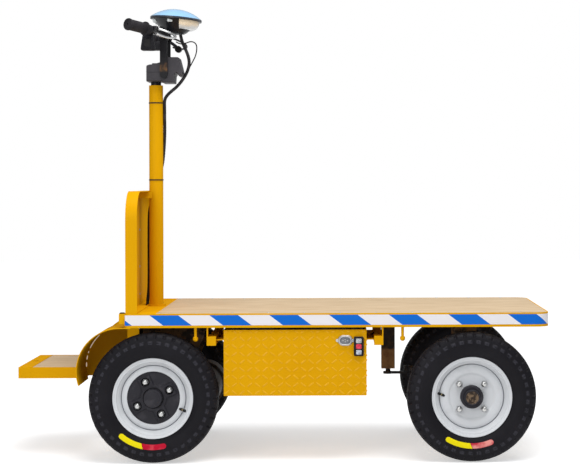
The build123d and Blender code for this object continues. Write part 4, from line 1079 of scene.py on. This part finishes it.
# Headlight: a sky-blue lacquered dome over a black body on a soft-edged bracket, with a fluted
# lens across its front and four small reflectors. The dome leans forward 4.6 degrees.
lamp_place, lamp_lean = (-0.401, 0, 1.592), math.radians(4.6)
lamp_turn = ((math.cos(lamp_lean), 0, math.sin(lamp_lean)), (0, 1, 0),
             (-math.sin(lamp_lean), 0, math.cos(lamp_lean)))
dome_reach, dome_rise, dome_foot = 0.0962, 0.0344, 0.0080
ball = (dome_reach ** 2 + dome_rise ** 2) / (2 * dome_rise)
dome_angle = np.linspace(math.asin(dome_reach / ball), 0, 22)
dome_profile = [(0.0900, 0.0030), (0.0958, 0.0024), (dome_reach, 0.0032)]
dome_profile += [(ball * math.sin(angle), dome_foot + dome_rise - ball + ball * math.cos(angle))
                 for angle in dome_angle]
sky_blue = Finish("sky_blue_lacquer", (0.22, 0.45, 0.70), 0.16, coat=0.6, coat_roughness=0.05, shine=0.3)
sky_tone = sky_blue.mix(sky_blue.noise(7, 3).clear(0.35, 0.7), (0.28, 0.49, 0.70), (0.21, 0.41, 0.64))
sky_rise = sky_blue.attribute("rise")
sky_blue.set("Base Color", sky_blue.mix(sky_rise.clear(0.0074, 0.0104), (0.010, 0.014, 0.026), sky_tone))
sky_blue.rough(60, 3, 0.12, 0.12)
dome_steps = 96
dome = moved(turned(dome_profile, dome_steps), lamp_turn, lamp_place)
made("lamp_dome_skin", [dome], sky_blue, "steering", "lamp_shell", 50,
     rise=np.tile(np.array(dome_profile)[:, 1], dome_steps))
lamp_black = Finish("lamp_black_gloss", (0.010, 0.011, 0.014), 0.28, coat=0.08)
lamp_black.rough(90, 3, 0.2, 0.2)
lamp_black.tinted(14, 3, (0.008, 0.009, 0.012), (0.015, 0.016, 0.020))
lamp_black.on("headlight_shell")
bracket = moved(soft_block((0.0410, 0.0300, 0.0145), 0.25), to=(-0.4200, 0, 1.5550))
made("lamp_bracket", [bracket], lamp_black, "steering", "lamp_shell", 50)


lens_back = 0.021


def lens_cover(rows, columns):
    """The clear front: at depth d below the dome its round edge has the radius of an oval,
    60 mm plus 28 mm times the root of 1 - (d / 33 mm) squared. The grid runs across in y, and x
    is the root of radius squared - y squared, back to a straight edge 21 mm ahead of the axis."""
    depth = 0.0325 * np.sin(np.linspace(0, np.pi / 2, rows))[:, None]
    reach = 0.060 + 0.028 * np.sqrt(np.clip(1 - (depth / 0.0330) ** 2, 0, 1))
    across = np.sin(np.linspace(-np.pi / 2, np.pi / 2, columns)) * np.sqrt(reach ** 2 - lens_back ** 2)
    ahead = np.sqrt(np.clip(reach ** 2 - across ** 2, lens_back ** 2, None))
    grid = np.stack((ahead, across, -depth + 0 * across), -1)
    foot_edge = grid[-1:] * (0, 1, 1) + (lens_back, 0, 0)
    return skin(np.concatenate((grid, foot_edge)))


lens = Finish("headlight_lens", (0.80, 0.66, 0.46), 0.10, coat=1.0, coat_roughness=0.03)
lens_y, lens_z = lens.axes()[1:]
lens_flute = (lens_y * 190).fraction().clear(0.0, 0.35)
lens_warm = (lens_z - 1.5640 + lens.noise(40, 2) * 0.008).clear(0.0, 0.016)
lens_tone = lens.mix(lens_warm, (0.66, 0.70, 0.72), (0.84, 0.66, 0.42))
lens.set("Base Color", lens.mix(lens_flute * 0.18, lens_tone, (0.90, 0.84, 0.74)))
lens.bump(lens_flute, 0.0005, 0.5)
cover_part = moved(lens_cover(18, 40), lamp_turn, lamp_place)
cover = made("lens_cover", [cover_part], lens, "steering", "lamp_lens", 60)
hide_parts("headlight_lens")
reflector = Finish("side_reflector", (0.62, 0.66, 0.66), 0.16, coat=1.0)
reflector_cell = reflector.node("TexVoronoi", Vector=reflector.place(), Scale=520.0)
reflector.set("Base Color", reflector.mix(reflector_cell, (0.50, 0.55, 0.55), (0.80, 0.83, 0.82)))
reflector.bump(reflector_cell, 0.0003, 0.6)
side_places = mm((-415, -80, 1586.8), (-415, 80, 1586.8))
rear_places = mm((-475.5, -33, 1589.5), (-475.5, 33, 1589.5))
marks = [repeated(soft_block((0.0098, 0.0050, 0.0064), 0.3, 12, 24), side_places),
         repeated(soft_block((0.0085, 0.0085, 0.0082), 0.6, 14, 28), rear_places)]
made("lamp_reflectors", marks, reflector, "steering", "lamp_lens", 40)


# Cable loom: the wires from the head run in one black spiral-wrapped bundle, forward of the head,
# back to the column, down its far side and through the deck to the gearcase. A thin lead loops
# out of it by the headlight.
loom_route = mm(
    (-384, 0, 1539.5), (-379, 0, 1513), (-364, 0, 1483), (-352, 0, 1450), (-352, 0, 1420),
    (-365, 0, 1387), (-394, 0, 1347), (-428.5, 0, 1320), (-445, 0, 1298), (-444.2, 0, 1260),
    (-444.2, 0, 1230), (-444.5, 10, 1170), (-449, 22, 1110), (-456, 31, 1050), (-473, 39, 1000),
    (-485, 38, 935), (-503.5, 25, 895), (-506.2, 20.5, 840), (-506.2, 20.5, 700),
    (-506.2, 20.5, 590), (-510, 4, 545), (-511, 0, 500), (-511, 0, 440), (-505, 18, 385),
    (-462, 50, 362), (-440, 58, 340), (-440, 58, 313.8),
)
loom_line = spline_line(loom_route, 16)
wrap_depth, wrap_turn = 0.035, 2.1
loom_wrap = 1 + wrap_depth * np.sin(np.arange(len(loom_line)) * wrap_turn)
loom_black = Finish("loom_spiral_wrap", (0.014, 0.013, 0.014), 0.45)
loom_black.rough(200, 3, 0.3, 0.28)
loom_black.mottled(40, 3, 0.4, 0.7, (0.012, 0.011, 0.012), (0.032, 0.029, 0.031))
loom_part = swept(loom_line, round_section(0.0060, 16), (0, 1, 0), loom_wrap)
loom = made("cable_bundle", [loom_part], loom_black, None, "rubber", 70)
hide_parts("cable_loom")
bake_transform(loom)
lead_route = mm(
    (-400, -12, 1512), (-386, -10, 1503), (-367, -4, 1506), (-343, 0, 1516), (-322, 0, 1504), (-325, 0, 1465),
    (-340, 0, 1436), (-353, 0, 1412),
)
lead = swept(spline_line(lead_route, 10), round_section(0.0022, 10), (0, 1, 0))
made("thin_lead", [lead], loom_black, "steering", "rubber", 70)
